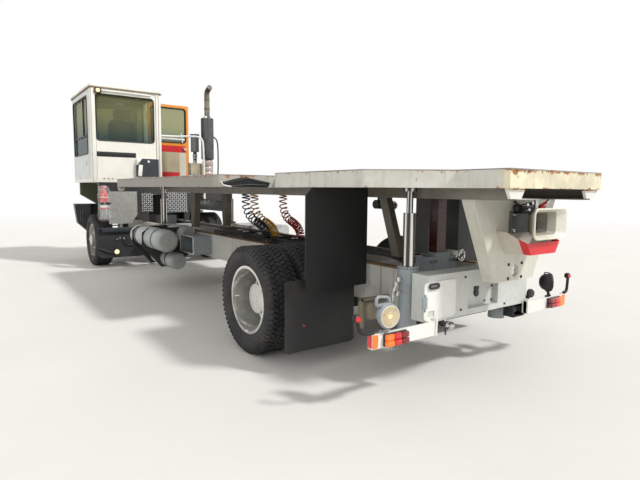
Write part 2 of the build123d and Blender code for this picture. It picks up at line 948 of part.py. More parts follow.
# Deck outline seen from above: full width in front, notched over the rear wheels, narrow at the rear
deck_half_outline = [
    (deck_front_x, 0),
    (deck_front_x, deck_half_width),
    (notch_front_x, deck_half_width),
    (notch_front_x, notch_y),
    (notch_rear_x, notch_y),
    (notch_rear_x, rear_half_width),
    (taper_start_x, rear_half_width),
    (taper_end_x, neck_half_width),
    (deck_rear_x, neck_half_width),
    (deck_rear_x, 0),
]
with BuildSketch() as deck_outline:
    with BuildLine():
        Polyline(*deck_half_outline)
        mirror(about=Plane.XZ)
    make_face()
    behind_front = deck_outline.vertices().filter_by(lambda v: v.X < deck_front_x - 1)
    wing_corners = behind_front.filter_by(lambda v: abs(v.Y) > rear_half_width - 1)
    fillet(wing_corners, radius=deck_corner)

under_plate = deck_top - deck_plate_wall
with BuildPart() as deck_plate:
    with BuildSketch(Plane.XY.offset(under_plate)):
        add(deck_outline.sketch)
    extrude(amount=deck_plate_wall)
finish(deck_plate, "deck_plate")

# Deck edge: a fascia with an inward lip, rear lugs and front hooks
with BuildPart() as deck_frame:
    with BuildSketch(Plane.XY.offset(fascia_bottom)):
        add(deck_outline.sketch)
        offset(amount=-fascia_wall, kind=Kind.INTERSECTION, mode=Mode.SUBTRACT)
    extrude(amount=under_plate - fascia_bottom)
    with BuildSketch(Plane.XY.offset(fascia_bottom)):
        add(deck_outline.sketch)
        offset(amount=-fascia_lip, kind=Kind.INTERSECTION, mode=Mode.SUBTRACT)
    extrude(amount=fascia_wall)
    for side in (1, -1):
        cross_plate(
            (lug_x, lug_x + lug_wall),
            [
                (side * lug_y[0], fascia_bottom),
                (side * lug_y[1], fascia_bottom),
                (side * (lug_y[1] - lug_taper), lug_bottom),
                (side * (lug_y[0] + lug_taper), lug_bottom),
            ],
        )
        cross_plate(
            (deck_front_x - lug_wall, deck_front_x),
            [
                (side * (deck_half_width - hook_width), fascia_bottom),
                (side * deck_half_width, fascia_bottom),
                (side * (deck_half_width - lug_taper / 2), hook_bottom),
                (side * (deck_half_width - hook_width + lug_taper), hook_bottom),
            ],
        )
finish(deck_frame, "deck_frame")

# Two long channels under the deck, and the cross channels between them and the edge
beam_inner_y = beam_outer_y - beam_width
with BuildPart() as deck_beams:
    for side in (1, -1):
        beam_x = (deck_rear_x + fascia_lip, deck_front_x - fascia_lip)
        block(beam_x, (side * beam_inner_y, side * beam_outer_y), (deck_beam_bottom, under_plate))
        block(
            (beam_x[0] - cut_over, beam_x[1] + cut_over),
            (side * (beam_inner_y - cut_over), side * (beam_outer_y - beam_wall)),
            (deck_beam_bottom + beam_wall, under_plate - beam_wall),
            mode=Mode.SUBTRACT,
        )
finish(deck_beams, "deck_beams")

pitch_count = ceil((front_guide_x - hose_deck_x) / cross_pitch) - 1
# columns: middle along X, half width across the truck
deck_cross_beams = [
    (rear_axle_x - 1890, neck_half_width),
    (rear_lift_x, rear_half_width),
    (column_x, beam_outer_y),
    (deck_flap_x, rear_half_width),
    (notch_rear_x - 60, rear_half_width),
    (rear_axle_x + 200, notch_y),
    (notch_front_x + 60, deck_half_width),
    (hose_deck_x, deck_half_width),
    (front_guide_x, deck_half_width),
    (front_lift_x, deck_half_width),
]
deck_cross_beams += [(front_guide_x - cross_pitch * (i + 1), deck_half_width) for i in range(pitch_count)]
with BuildPart() as deck_crossbeams:
    for middle_x, half_width in deck_cross_beams:
        beam_x = (middle_x - cross_beam_half, middle_x + cross_beam_half)
        for low_y, high_y in (
            (-half_width, -beam_outer_y),
            (-beam_inner_y, beam_inner_y),
            (beam_outer_y, half_width),
        ):
            if high_y - low_y > beam_wall:
                block(beam_x, (low_y, high_y), (fascia_bottom + fascia_wall, under_plate))
                block(
                    (beam_x[0] + beam_wall, beam_x[1] + cut_over),
                    (low_y - cut_over, high_y + cut_over),
                    (fascia_bottom + fascia_wall + beam_wall, under_plate - beam_wall),
                    mode=Mode.SUBTRACT,
                )
    for lift_x, lift_y in lift_places:
        for side in (1, -1):
            post(lift_x, side * lift_y, (fascia_bottom, fascia_bottom + fascia_wall), rod_eye_radius)
    for hose_name, top_y, foot_y in hose_table:
        post(hose_deck_x, top_y, (fascia_bottom - port_height, fascia_bottom + fascia_wall), port_radius)
    with BuildSketch(Plane.XY.offset(fascia_bottom - port_height)) as inside_fascia:
        add(deck_outline.sketch)
        offset(amount=-fascia_wall - seat_gap, kind=Kind.INTERSECTION, mode=Mode.REPLACE)
    extrude(inside_fascia.sketch, amount=under_plate - fascia_bottom + port_height, mode=Mode.INTERSECT)
finish(deck_crossbeams, "deck_crossbeams")

# Plate that hangs under the rear of the deck and carries the coupling
plate_face_x = rear_plate_x - rear_plate_wall
with BuildPart() as deck_rear_plate:
    cross_plate(
        (plate_face_x, rear_plate_x),
        [
            (-rear_plate_top_half, deck_beam_bottom),
            (rear_plate_top_half, deck_beam_bottom),
            (rear_plate_foot_half, rear_plate_bottom),
            (-rear_plate_foot_half, rear_plate_bottom),
        ],
    )
    for side in (1, -1):
        cross_plate(
            (rear_plate_x, rear_plate_x + rear_plate_flange),
            [
                (side * rear_plate_top_half, deck_beam_bottom),
                (side * rear_plate_foot_half, rear_plate_bottom),
                (side * (rear_plate_foot_half - rear_plate_wall), rear_plate_bottom),
                (side * (rear_plate_top_half - rear_plate_wall), deck_beam_bottom),
            ],
        )
    with Locations((rear_plate_x, 0, tow_hole_z)):
        Cylinder(tow_hole_radius, 4 * rear_plate_wall, rotation=(0, 90, 0), mode=Mode.SUBTRACT)
    for side in (1, -1):
        for level in (1, -1):
            with Locations((rear_plate_x, side * bolt_across / 2, tow_hole_z + level * bolt_up / 2)):
                Cylinder(bolt_hole_radius, 4 * rear_plate_wall, rotation=(0, 90, 0), mode=Mode.SUBTRACT)
finish(deck_rear_plate, "deck_rear_plate")

# Trailer coupling: flange, body with its knob and lever, and a wide flared mouth; a tray hangs below
throat_x = mouth_x + mouth_depth
flange_half_y, flange_half_z, flange_wall = coupling_flange
body_top = coupling_z + mouth_throat_half
body_x = (throat_x, plate_face_x - flange_wall)
body_middle_x = (body_x[0] + body_x[1]) / 2
with BuildPart() as coupling_body:
    with BuildSketch(Plane.YZ.offset(plate_face_x - flange_wall)) as flange:
        with Locations((0, coupling_z)):
            RectangleRounded(2 * flange_half_y, 2 * flange_half_z, flange_round)
    extrude(flange.sketch, amount=flange_wall)
    block(
        body_x,
        (-mouth_throat_half, mouth_throat_half),
        (coupling_z - mouth_throat_half, body_top),
    )
    block(
        (body_x[0] - cut_over, body_x[1] - mouth_wall),
        (-mouth_throat_half + mouth_wall, mouth_throat_half - mouth_wall),
        (coupling_z - mouth_throat_half + mouth_wall, body_top - mouth_wall),
        mode=Mode.SUBTRACT,
    )
    knob_radius, knob_height = coupling_knob
    post(body_middle_x, 0, (body_top, body_top + knob_height), knob_radius)
    post(body_middle_x, 0, (body_top - mouth_wall - pin_tip, body_top), pin_radius)
    post(
        body_middle_x,
        0,
        (coupling_z - mouth_throat_half - cut_over, coupling_z),
        pin_radius + running_gap,
        mode=Mode.SUBTRACT,
    )
    lever_reach, lever_half = coupling_lever
    block(
        (body_middle_x - lever_half, body_middle_x + lever_half),
        (0, -lever_reach),
        (body_top + knob_height / 2, body_top + knob_height / 2 + lever_half),
    )
finish(coupling_body, "coupling_body")

with BuildPart() as coupling_mouth:
    # columns: shrink of the section, its two places along X, how it is used
    for shrink, near_x, far_x, use in (
        (0, throat_x, mouth_x, Mode.ADD),
        (mouth_wall, throat_x + cut_over, mouth_x - cut_over, Mode.SUBTRACT),
    ):
        with BuildSketch(Plane.YZ.offset(near_x)) as throat:
            with Locations((0, coupling_z)):
                RectangleRounded(
                    2 * (mouth_throat_half - shrink),
                    2 * (mouth_throat_half - shrink),
                    throat_round - shrink / 2,
                )
        with BuildSketch(Plane.YZ.offset(far_x)) as rim:
            with Locations((0, coupling_z)):
                RectangleRounded(
                    2 * (mouth_half_width - shrink),
                    2 * (mouth_half_height - shrink),
                    mouth_round - shrink / 2,
                )
        loft([throat.sketch.face(), rim.sketch.face()], mode=use)
finish(coupling_mouth, "coupling_mouth")

with BuildPart() as coupling_tray:
    tray_lean = (tray_half[1] - tray_half[0]) / (tray_z[1] - tray_z[0])
    side_top_half = tray_half[0] + tray_lean * (tray_side_top - tray_z[0])
    for side in (1, -1):
        cross_plate(
            (tray_lip_x, plate_face_x),
            [
                (side * tray_half[0], tray_z[0]),
                (side * side_top_half, tray_side_top),
                (side * (side_top_half - tray_wall), tray_side_top),
                (side * (tray_half[0] - tray_wall), tray_z[0]),
            ],
        )
    side_plate(
        (-side_top_half - cut_over, side_top_half + cut_over),
        [
            (tray_lip_x - cut_over, tray_z[1]),
            (tray_lip_x + tray_rise, tray_side_top + cut_over),
            (tray_lip_x - cut_over, tray_side_top + cut_over),
        ],
        mode=Mode.SUBTRACT,
    )
    block((tray_lip_x, plate_face_x), (-tray_half[0], tray_half[0]), (tray_z[0], tray_z[0] + tray_wall))
    cross_plate(
        (tray_lip_x, tray_lip_x + tray_wall),
        [
            (-tray_half[0], tray_z[0]),
            (tray_half[0], tray_z[0]),
            (tray_half[1], tray_z[1]),
            (-tray_half[1], tray_z[1]),
        ],
    )
finish(coupling_tray, "coupling_tray")

# Guides that hang from the deck: rear column with side plates and arms, and two tapered front legs
cross_bottom = fascia_bottom + fascia_wall
arm_outline = [
    (deck_flap_x + 20, cross_bottom),
    (deck_flap_x + 110, cross_bottom),
    (rear_axle_x - 850, 890),
    (rear_axle_x - 940, 890),
]
with BuildPart() as deck_guides:
    block(
        (column_x - column_half, column_x + column_half),
        (-column_half, column_half),
        (column_bottom, cross_bottom),
    )
    leg_half, leg_top, leg_foot = front_guide_half
    for side in (1, -1):
        plate_near, plate_far = side * side_plate_y[0], side * side_plate_y[1]
        block(side_plate_x, (plate_near, plate_far), (side_plate_bottom, cross_bottom))
        side_plate(sorted((side * arm_y[0], side * arm_y[1])), arm_outline)
        side_plate(
            (side * front_guide_y - leg_half, side * front_guide_y + leg_half),
            [
                (front_guide_x - leg_top, cross_bottom),
                (front_guide_x + leg_top, cross_bottom),
                (front_guide_x + leg_top, guide_shoulder + leg_top),
                (front_guide_x + leg_foot, guide_bottom),
                (front_guide_x - leg_foot, guide_bottom),
                (front_guide_x - leg_top, guide_shoulder + leg_top),
            ],
        )
finish(deck_guides, "deck_guides")

# Housing on the chassis that the rear column slides through
slot_half = column_half + moving_gap
housing_half_length = slot_half + guide_wall
carrier_depth, carrier_low, carrier_high = guide_carrier
with BuildPart() as guide_housing:
    block(
        (column_x - housing_half_length, column_x + housing_half_length),
        (-guide_half_width, guide_half_width),
        (guide_z[0], guide_z[1] - 2 * guide_wall),
    )
    block(
        (column_x - housing_half_length, column_x + housing_half_length),
        (-slot_half - 2 * guide_wall, slot_half + 2 * guide_wall),
        (guide_z[1] - 2 * guide_wall, guide_z[1]),
    )
    block(
        (column_x + housing_half_length, column_x + housing_half_length + carrier_depth),
        (-web_inner_y, web_inner_y),
        (carrier_low, carrier_high),
    )
    block(
        (column_x - slot_half, column_x + slot_half),
        (-slot_half, slot_half),
        (guide_z[0] - cut_over, guide_z[1] + cut_over),
        mode=Mode.SUBTRACT,
    )
finish(guide_housing, "guide_housing")

# Rubber flaps behind the rear wheels: upper pair on the deck, lower pair on the chassis
with BuildPart() as deck_flaps:
    cross_plate(
        (deck_flap_x, deck_flap_x + flap_wall),
        [
            (deck_flap_y[0], fascia_bottom),
            (deck_flap_y[0], deck_flap_bottom),
            (deck_flap_y[1], deck_flap_bottom),
            (deck_flap_y[1], fascia_bottom - flap_round),
            (deck_flap_y[1] - flap_round, fascia_bottom),
        ],
    )
    mirror(about=Plane.XZ)
finish(deck_flaps, "deck_flaps")

with BuildPart() as chassis_flaps:
    cross_plate(
        (chassis_flap_x, chassis_flap_x + flap_wall),
        [
            (chassis_flap_y[0], chassis_flap_z[0]),
            (chassis_flap_y[1], chassis_flap_z[0]),
            (chassis_flap_y[1], chassis_flap_z[1]),
            (chassis_flap_y[0], chassis_flap_z[1]),
        ],
        rounded=flap_round / 2,
    )
    cross_plate(
        (guard_x, guard_x + flap_wall),
        [
            (rail_outer_y, guard_z[0]),
            (guard_outer_y - flap_round, guard_z[0]),
            (guard_outer_y, guard_z[0] + flap_round),
            (guard_outer_y, guard_z[1] - flap_round),
            (guard_outer_y - flap_round, guard_z[1]),
            (rail_outer_y, guard_z[1]),
        ],
    )
    mirror(about=Plane.XZ)
finish(chassis_flaps, "chassis_flaps")

# Air tanks on the left, held in two cut plates on the rail
# columns: Y, Z, radius, rear end, front end
tank_table = (
    (1000, 743, 146, front_axle_x - 3550, front_axle_x - 2250),
    (562, 775, 124, front_axle_x - 3144, front_axle_x - 2330),
    (800, 444, 115, front_axle_x - 3380, front_axle_x - 2250),
)
with BuildPart() as air_tanks:
    for tank_y, tank_z, radius, tank_rear, tank_front in tank_table:
        long_bar((tank_rear, tank_front), tank_y, tank_z, radius)
    fillet(air_tanks.edges().filter_by(GeomType.CIRCLE), radius=tank_dome)
finish(air_tanks, "air_tanks")

tank_plate_outline = [
    (rail_outer_y, 520),
    (700, 330),
    (900, 320),
    (1170, 640),
    (1160, 820),
    (1080, 880),
    (rail_outer_y, 880),
]
with BuildPart() as tank_plates:
    for plate_x in tank_plate_places:
        cross_plate(
            (plate_x, plate_x + tank_plate_wall),
            tank_plate_outline,
        )
        for tank_y, tank_z, radius, tank_rear, tank_front in tank_table:
            long_bar(
                (plate_x - cut_over, plate_x + tank_plate_wall + cut_over),
                tank_y,
                tank_z,
                radius + seat_gap,
                mode=Mode.SUBTRACT,
            )
finish(tank_plates, "tank_plates")

# Open box tubes that reach out from the rails
with BuildPart() as outriggers:
    block(outrigger_x, (rail_outer_y, outrigger_reach), outrigger_z)
    block(
        (outrigger_x[0] + outrigger_wall, outrigger_x[1] - outrigger_wall),
        (rail_outer_y + outrigger_wall, outrigger_reach + cut_over),
        (outrigger_z[0] + outrigger_wall, outrigger_z[1] - outrigger_wall),
        mode=Mode.SUBTRACT,
    )
    mirror(about=Plane.XZ)
finish(outriggers, "outriggers")

with BuildPart() as fuel_tank:
    block(fuel_x, fuel_y, fuel_z)
    fillet(fuel_tank.edges().filter_by(Axis.X), radius=fuel_round)
    bracket_length, bracket_low, bracket_high = fuel_bracket
    for bracket_x in (fuel_x[0] + 2 * bracket_length, fuel_x[1] - 3 * bracket_length):
        bracket_reach = (bracket_x, bracket_x + bracket_length)
        block(bracket_reach, (fuel_y[1], -rail_outer_y), (bracket_low, bracket_high))
finish(fuel_tank, "fuel_tank")

# White pieces on the rear box: the light bars and the cover plate
bar_rear_x = box_rear_x - light_bar_depth
with BuildPart() as light_bars:
    block((bar_rear_x, box_rear_x), light_bar_y, light_bar_z)
    block(
        (bar_rear_x + box_wall, box_rear_x + cut_over),
        (box_half_width + box_wall, light_bar_y[1] - box_wall),
        (light_bar_z[0] + box_wall, light_bar_z[1] + cut_over),
        mode=Mode.SUBTRACT,
    )
    mirror(about=Plane.XZ)
    with BuildSketch(Plane.YZ.offset(box_rear_x - cover_wall)) as cover:
        with Locations(((cover_y[0] + cover_y[1]) / 2, (cover_z[0] + cover_z[1]) / 2)):
            RectangleRounded(cover_y[1] - cover_y[0], cover_z[1] - cover_z[0], cover_round)
        with Locations((cover_y[1] - cover_notch[0], cover_z[0] + cover_notch[1])):
            Rectangle(*cover_notch, mode=Mode.SUBTRACT)
    extrude(cover.sketch, amount=cover_wall)
finish(light_bars, "light_bars")

# Tail lamps and work lamps on the light bars, and marker lamps on bent arms
arm_base_z = light_bar_z[1] + marker_arm_radius
arm_stand_y = marker_y - 8
arm_bend = 30
with BuildPart() as rear_lamps:
    for side, work_lamp_y, work_lamp_z in work_lamp_table:
        block(
            (bar_rear_x - lamp_depth, bar_rear_x),
            (side * tail_lamp_y[0], side * tail_lamp_y[1]),
            tail_lamp_z,
        )
        lamp_x = (bar_rear_x - lamp_depth, bar_rear_x - lamp_depth + work_lamp_depth)
        long_bar(lamp_x, side * work_lamp_y, work_lamp_z, work_lamp_radius)
        block(
            (bar_rear_x, bar_rear_x + box_wall),
            (side * (work_lamp_y - 2 * box_wall), side * (work_lamp_y + 2 * box_wall)),
            (light_bar_z[1], work_lamp_z),
        )
        arm_start = (bar_rear_x, side * (light_bar_y[1] - box_wall), arm_base_z)
        with BuildLine():
            FilletPolyline(
                arm_start,
                (bar_rear_x, side * (arm_stand_y - 1.4 * arm_bend), arm_base_z),
                (bar_rear_x, side * arm_stand_y, marker_z - 70),
                (bar_rear_x, side * arm_stand_y, marker_z),
                radius=[arm_bend, arm_bend],
            )
        with BuildSketch(Plane(origin=arm_start, z_dir=(0, side, 0))):
            Circle(marker_arm_radius)
        sweep()
        long_bar(
            (bar_rear_x - marker_radius, bar_rear_x + marker_radius),
            side * (marker_y + 4),
            marker_z + marker_radius,
            marker_radius,
        )
finish(rear_lamps, "rear_lamps")

# Frames on the rails that carry the cab and the engine cover
with BuildPart() as bay_frames:
    for frame_x in (bay_rear_x, bay_front_x):
        cross_plate(
            (frame_x, frame_x + frame_wall),
            [
                (rail_outer_y, rail_top),
                frame_shoulder,
                (frame_shoulder[0], cab_floor_z),
                (cab_right_y, cab_floor_z),
                (cab_right_y, bay_top - bay_plate),
                (bay_right_y, bay_top - bay_plate),
                (bay_right_y, frame_shoulder[1] - 100),
                (-rail_outer_y - frame_wall, frame_shoulder[1] - 100),
                (-rail_outer_y, rail_top),
                (-bay_opening_half, rail_top),
                (-bay_opening_half, engine_top + 20),
                (bay_opening_half, engine_top + 20),
                (bay_opening_half, rail_top),
            ],
        )
finish(bay_frames, "bay_frames")

# Platform over the engine with its side, the panels behind it and the reservoir that stands on it
platform_x = (bay_rear_x, bay_front_x + frame_wall)
with BuildPart() as bay_panels:
    block(platform_x, (bay_right_y, cab_right_y - seat_gap), (bay_top - bay_plate, bay_top))
    block(platform_x, (bay_right_y - bay_side_wall, bay_right_y), (bay_bottom, bay_top))
    panel_x = (bay_rear_x - bay_side_wall, bay_rear_x)
    for low_y, high_y, low_z, high_z in bay_panel_table:
        block(panel_x, (low_y, high_y), (low_z, high_z))
    cross_plate(
        panel_x,
        [
            (grey_panel_y[0] + grey_panel_corner, grey_panel_z[0]),
            (grey_panel_y[1], grey_panel_z[0]),
            (grey_panel_y[1], grey_panel_z[1]),
            (grey_panel_y[0], grey_panel_z[1]),
            (grey_panel_y[0], grey_panel_z[0] + 1.5 * grey_panel_corner),
        ],
    )
    block(reservoir_x, reservoir_y, reservoir_z)
    reservoir_middle = ((reservoir_x[0] + reservoir_x[1]) / 2, (reservoir_y[0] + reservoir_y[1]) / 2)
    block(
        (reservoir_middle[0] - reservoir_leg, reservoir_middle[0] + reservoir_leg),
        (reservoir_middle[1] - reservoir_leg, reservoir_middle[1] + reservoir_leg),
        (bay_top, reservoir_z[0]),
    )
finish(bay_panels, "bay_panels")

# Front end: a hollow bumper with swept-up ends, headlamp recesses and a slatted grille
bumper_rear_x = bumper_front_x - bumper_depth
slot_y, slot_width, slot_low, slot_high = bumper_slot
lamp_y, lamp_radius, lamp_z = headlamp
with BuildPart() as bumper:
    bumper_half_outline = [
        (bumper_half[1], bumper_z[1]),
        bumper_waist,
        (bumper_half[0], bumper_low),
        (bumper_half[0] - 2 * lamp_radius, bumper_z[0]),
    ]
    mirrored = [(-y, z) for y, z in reversed(bumper_half_outline)]
    cross_plate((bumper_rear_x, bumper_front_x), bumper_half_outline + mirrored)
    fillet(bumper.faces().sort_by(Axis.X)[-1].edges().filter_by(Axis.Z, reverse=True), radius=3 * bumper_wall)
    block(
        (bumper_rear_x - cut_over, bumper_front_x - bumper_wall),
        (-bumper_hollow_half, bumper_hollow_half),
        (bumper_low, bumper_z[1] - bumper_wall),
        mode=Mode.SUBTRACT,
    )
    block(
        (bumper_front_x - bumper_wall - cut_over, bumper_front_x + cut_over),
        (-grille_half, grille_half),
        grille_z,
        mode=Mode.SUBTRACT,
    )
    slat_pitch = (grille_z[1] - grille_z[0]) / grille_slats
    for slat in range(grille_slats):
        slat_z = grille_z[0] + slat_pitch * (slat + 0.5)
        block(
            (bumper_front_x - bumper_wall, bumper_front_x),
            (-grille_half, grille_half),
            (slat_z - grille_slat / 2, slat_z + grille_slat / 2),
        )
    for side in (1, -1):
        long_bar(
            (bumper_front_x - lamp_recess, bumper_front_x + cut_over),
            side * lamp_y,
            lamp_z,
            lamp_radius,
            mode=Mode.SUBTRACT,
        )
        block(
            (bumper_rear_x - cut_over, bumper_rear_x + 2 * bumper_wall),
            (side * (slot_y - slot_width / 2), side * (slot_y + slot_width / 2)),
            (slot_low, slot_high),
            mode=Mode.SUBTRACT,
        )
        block(
            (rail_front_x, bumper_front_x - bumper_wall),
            (side * (rail_outer_y - 60), side * rail_outer_y),
            (rail_bottom + frame_wall, rail_top - 40),
        )
finish(bumper, "bumper")

# Steps below the platform on the right
with BuildPart() as steps:
    step_inner_y = step_outer_y - step_wall
    block(step_x, (-step_outer_y, -step_inner_y), step_z)
    tread_pitch = (step_z[1] - step_z[0]) / 2
    for tread in range(2):
        tread_low = step_z[0] + tread_pitch * tread + (tread_pitch - step_tread_height) / 2
        block(
            (step_x[0] + step_side, step_x[1] - step_side),
            (-step_outer_y - cut_over, -step_inner_y - 10),
            (tread_low, tread_low + step_tread_height),
            mode=Mode.SUBTRACT,
        )
    block((step_arm_x, step_arm_x + frame_wall), (-step_inner_y, -rail_outer_y), step_arm_z)
finish(steps, "steps")

# Extinguisher case on the left behind the front wheel
with BuildPart() as extinguisher_box:
    block(extinguisher_x, extinguisher_y, extinguisher_z)
    fillet(extinguisher_box.edges().filter_by(Axis.Z), radius=extinguisher_round)
    fillet(extinguisher_box.faces().sort_by(Axis.Z)[-1].edges(), radius=extinguisher_round / 2)
    block((extinguisher_x[1], bay_rear_x), extinguisher_arm_y, extinguisher_arm_z)
finish(extinguisher_box, "extinguisher_box")

# Cab: floor, four walls and roof that meet at their edges, with the windows cut
wall_top = cab_roof_z - roof_wall
wall_bottom = cab_floor_z + floor_wall
with BuildPart() as cab_floor:
    block((cab_rear_x, cab_front_x), (cab_right_y, cab_left_y), (cab_floor_z, wall_bottom))
    fillet(cab_floor.edges().filter_by(Axis.Z), radius=cab_round)
finish(cab_floor, "cab_floor")

with BuildPart() as cab_rear_wall:
    rear_wall_x = (cab_rear_x, cab_rear_x + cab_wall)
    block(rear_wall_x, (cab_right_y, cab_left_y), (wall_bottom, wall_top))
    fillet(cab_rear_wall.edges().filter_by(Axis.Z).group_by(Axis.X)[0], radius=cab_round)
    cross_window((rear_wall_x[0] - cut_over, rear_wall_x[1] + cut_over), rear_window_y, rear_window_z)
    side_plate(
        vent_y,
        [
            (cab_rear_x, vent_z[0]),
            (cab_rear_x - vent_depth, vent_z[0]),
            (cab_rear_x - vent_depth, vent_z[1] - vent_chamfer),
            (cab_rear_x - vent_depth + vent_chamfer, vent_z[1]),
            (cab_rear_x, vent_z[1]),
        ],
    )
finish(cab_rear_wall, "cab_rear_wall")

with BuildPart() as cab_front_wall:
    front_wall_x = (cab_front_x - cab_wall, cab_front_x)
    block(front_wall_x, (cab_right_y, cab_left_y), (wall_bottom, wall_top))
    fillet(cab_front_wall.edges().filter_by(Axis.Z).group_by(Axis.X)[-1], radius=cab_round)
    cross_window((front_wall_x[0] - cut_over, front_wall_x[1] + cut_over), front_window_y, front_window_z)
finish(cab_front_wall, "cab_front_wall")

side_x = (cab_rear_x + cab_wall, cab_front_x - cab_wall)
with BuildPart() as cab_left_wall:
    block(side_x, (cab_left_y - cab_wall, cab_left_y), (wall_bottom, wall_top))
    side_window((cab_left_y - cab_wall - cut_over, cab_left_y + cut_over), left_window_x, left_window_z)
finish(cab_left_wall, "cab_left_wall")

hinge_y = cab_right_y - moving_gap - door_wall / 2
doorway_x = (door_hinge_x - door_width + door_step, door_hinge_x - door_step)
right_wall_cut = (cab_right_y - cut_over, cab_right_y + cab_wall + cut_over)
pin_low = lug_gap + lug_height
with BuildPart() as cab_right_wall:
    block(side_x, (cab_right_y, cab_right_y + cab_wall), (wall_bottom, wall_top))
    block(doorway_x, right_wall_cut, (door_bottom + door_step, door_top - door_step), mode=Mode.SUBTRACT)
    side_window(right_wall_cut, right_window_x, right_window_z)
    for level in knuckle_levels:
        for low in (level - pin_low, level + knuckle_height + lug_gap):
            block((door_hinge_x - 20, door_hinge_x + 20), (hinge_y, cab_right_y), (low, low + lug_height))
            post(door_hinge_x, hinge_y, (low, low + lug_height), knuckle_radius - 2)
        post(
            door_hinge_x,
            hinge_y,
            (level - pin_low, level + knuckle_height + pin_low),
            hinge_pin_radius,
        )
finish(cab_right_wall, "cab_right_wall")

with BuildPart() as cab_roof:
    block(
        (cab_rear_x - roof_overhang, cab_front_x + roof_overhang),
        (cab_right_y - roof_overhang / 2, cab_left_y + roof_overhang),
        (wall_top, cab_roof_z),
    )
    fillet(cab_roof.edges().filter_by(Axis.Z), radius=cab_round + roof_overhang)
    fillet(cab_roof.faces().sort_by(Axis.Z)[-1].edges(), radius=roof_round)
finish(cab_roof, "cab_roof")

glass_inset = (cab_wall - glass_wall) / 2
with BuildPart() as cab_glass:
    cross_window(
        (cab_rear_x + glass_inset, cab_rear_x + glass_inset + glass_wall),
        rear_window_y,
        rear_window_z,
        shrink=seat_gap,
        mode=Mode.ADD,
    )
    cross_window(
        (cab_front_x - glass_inset - glass_wall, cab_front_x - glass_inset),
        front_window_y,
        front_window_z,
        shrink=seat_gap,
        mode=Mode.ADD,
    )
    # columns: inner face of the pane, its reach along X, its height
    for pane_y, pane_x, pane_z in (
        (cab_left_y - glass_inset - glass_wall, left_window_x, left_window_z),
        (cab_right_y + glass_inset, right_window_x, right_window_z),
    ):
        side_window((pane_y, pane_y + glass_wall), pane_x, pane_z, shrink=seat_gap, mode=Mode.ADD)
finish(cab_glass, "cab_glass")

# Seat, and the dashboard with the steering wheel
with BuildPart() as seat:
    seat_middle = ((seat_x[0] + seat_x[1]) / 2, (seat_y[0] + seat_y[1]) / 2)
    block(
        (seat_middle[0] - seat_column[0], seat_middle[0] + seat_column[0]),
        (seat_middle[1] - seat_column[1], seat_middle[1] + seat_column[1]),
        (wall_bottom, seat_z[0]),
    )
    block(seat_x, seat_y, seat_z)
    back_x = (seat_x[0] - backrest[0] / 2, seat_x[0] + backrest[0] / 2)
    block(back_x, seat_y, (seat_z[1], backrest[1]))
    block(
        back_x,
        (seat_middle[1] - headrest[0], seat_middle[1] + headrest[0]),
        (backrest[1], backrest[1] + headrest[1]),
    )
finish(seat, "seat")

with BuildPart() as dashboard:
    dash_y = (cab_right_y + cab_wall, cab_left_y - cab_wall)
    block((dash_x, cab_front_x - cab_wall), dash_y, dash_z)
    block(
        (dash_x + 60, cab_front_x - cab_wall),
        (wheel_y - 200, wheel_y + 200),
        (wall_bottom, dash_z[0]),
    )
    wheel_middle = (wheel_centre[0], wheel_y, wheel_centre[1])
    column_foot = (wheel_middle[0] - wheel_tilt[0], wheel_y, wheel_middle[2] - wheel_tilt[2])
    with BuildLine():
        Line(column_foot, wheel_middle)
    with BuildSketch(Plane(origin=column_foot, z_dir=wheel_tilt)):
        Circle(wheel_column_radius)
    sweep()
    with Locations(Plane(origin=wheel_middle, z_dir=wheel_tilt)):
        Torus(wheel_radius, wheel_rim)
        Box(2 * (wheel_radius - wheel_rim / 2), 2 * wheel_rim, wheel_rim)
finish(dashboard, "dashboard")

# Right-hand door, shown open: it points away from the cab and closes backwards
door_near = hinge_y - knuckle_radius + 4
door_far = hinge_y - door_width
door_x = (door_hinge_x - door_wall / 2, door_hinge_x + door_wall / 2)
door_window_y = (door_far + door_frame_width, door_near - door_frame_width)
door_window_z = (door_window_bottom, door_top - door_frame_width)
with BuildPart() as door_frame:
    block(door_x, (door_far, door_near), (door_bottom, door_top))
    cross_window((door_x[0] - cut_over, door_x[1] + cut_over), door_window_y, door_window_z)
    for level in knuckle_levels:
        post(
            door_hinge_x,
            hinge_y,
            (level - pin_low - moving_gap, level + knuckle_height + pin_low + moving_gap),
            knuckle_radius + knuckle_room,
            mode=Mode.SUBTRACT,
        )
        post(door_hinge_x, hinge_y, (level, level + knuckle_height), knuckle_radius)
        block(
            (door_hinge_x - 12, door_hinge_x + 12),
            (door_near - 20, hinge_y - hinge_pin_radius - 2),
            (level, level + knuckle_height),
        )
        post(
            door_hinge_x,
            hinge_y,
            (level - cut_over, level + knuckle_height + cut_over),
            hinge_pin_radius + running_gap,
            mode=Mode.SUBTRACT,
        )
finish(door_frame, "door_frame")

with BuildPart() as door_glass:
    cross_window(
        (door_hinge_x - glass_wall / 2, door_hinge_x + glass_wall / 2),
        door_window_y,
        door_window_z,
        shrink=seat_gap,
        mode=Mode.ADD,
    )
finish(door_glass, "door_glass")

# Handrail at the rear of the platform beside the cab
handrail_start = (handrail_x, cab_right_y, handrail_z)
with BuildPart() as handrail:
    with BuildLine():
        FilletPolyline(
            handrail_start,
            (handrail_x, handrail_top_y, handrail_z),
            (handrail_x, handrail_foot_y, bay_top + 6),
            radius=[handrail_round],
        )
    with BuildSketch(Plane(origin=handrail_start, z_dir=(0, -1, 0))):
        Circle(rail_tube)
    sweep()
    block(
        (handrail_x - handrail_foot, handrail_x + handrail_foot),
        (handrail_foot_y - handrail_foot, handrail_foot_y + handrail_foot),
        (bay_top, bay_top + 10),
    )
finish(handrail, "handrail")

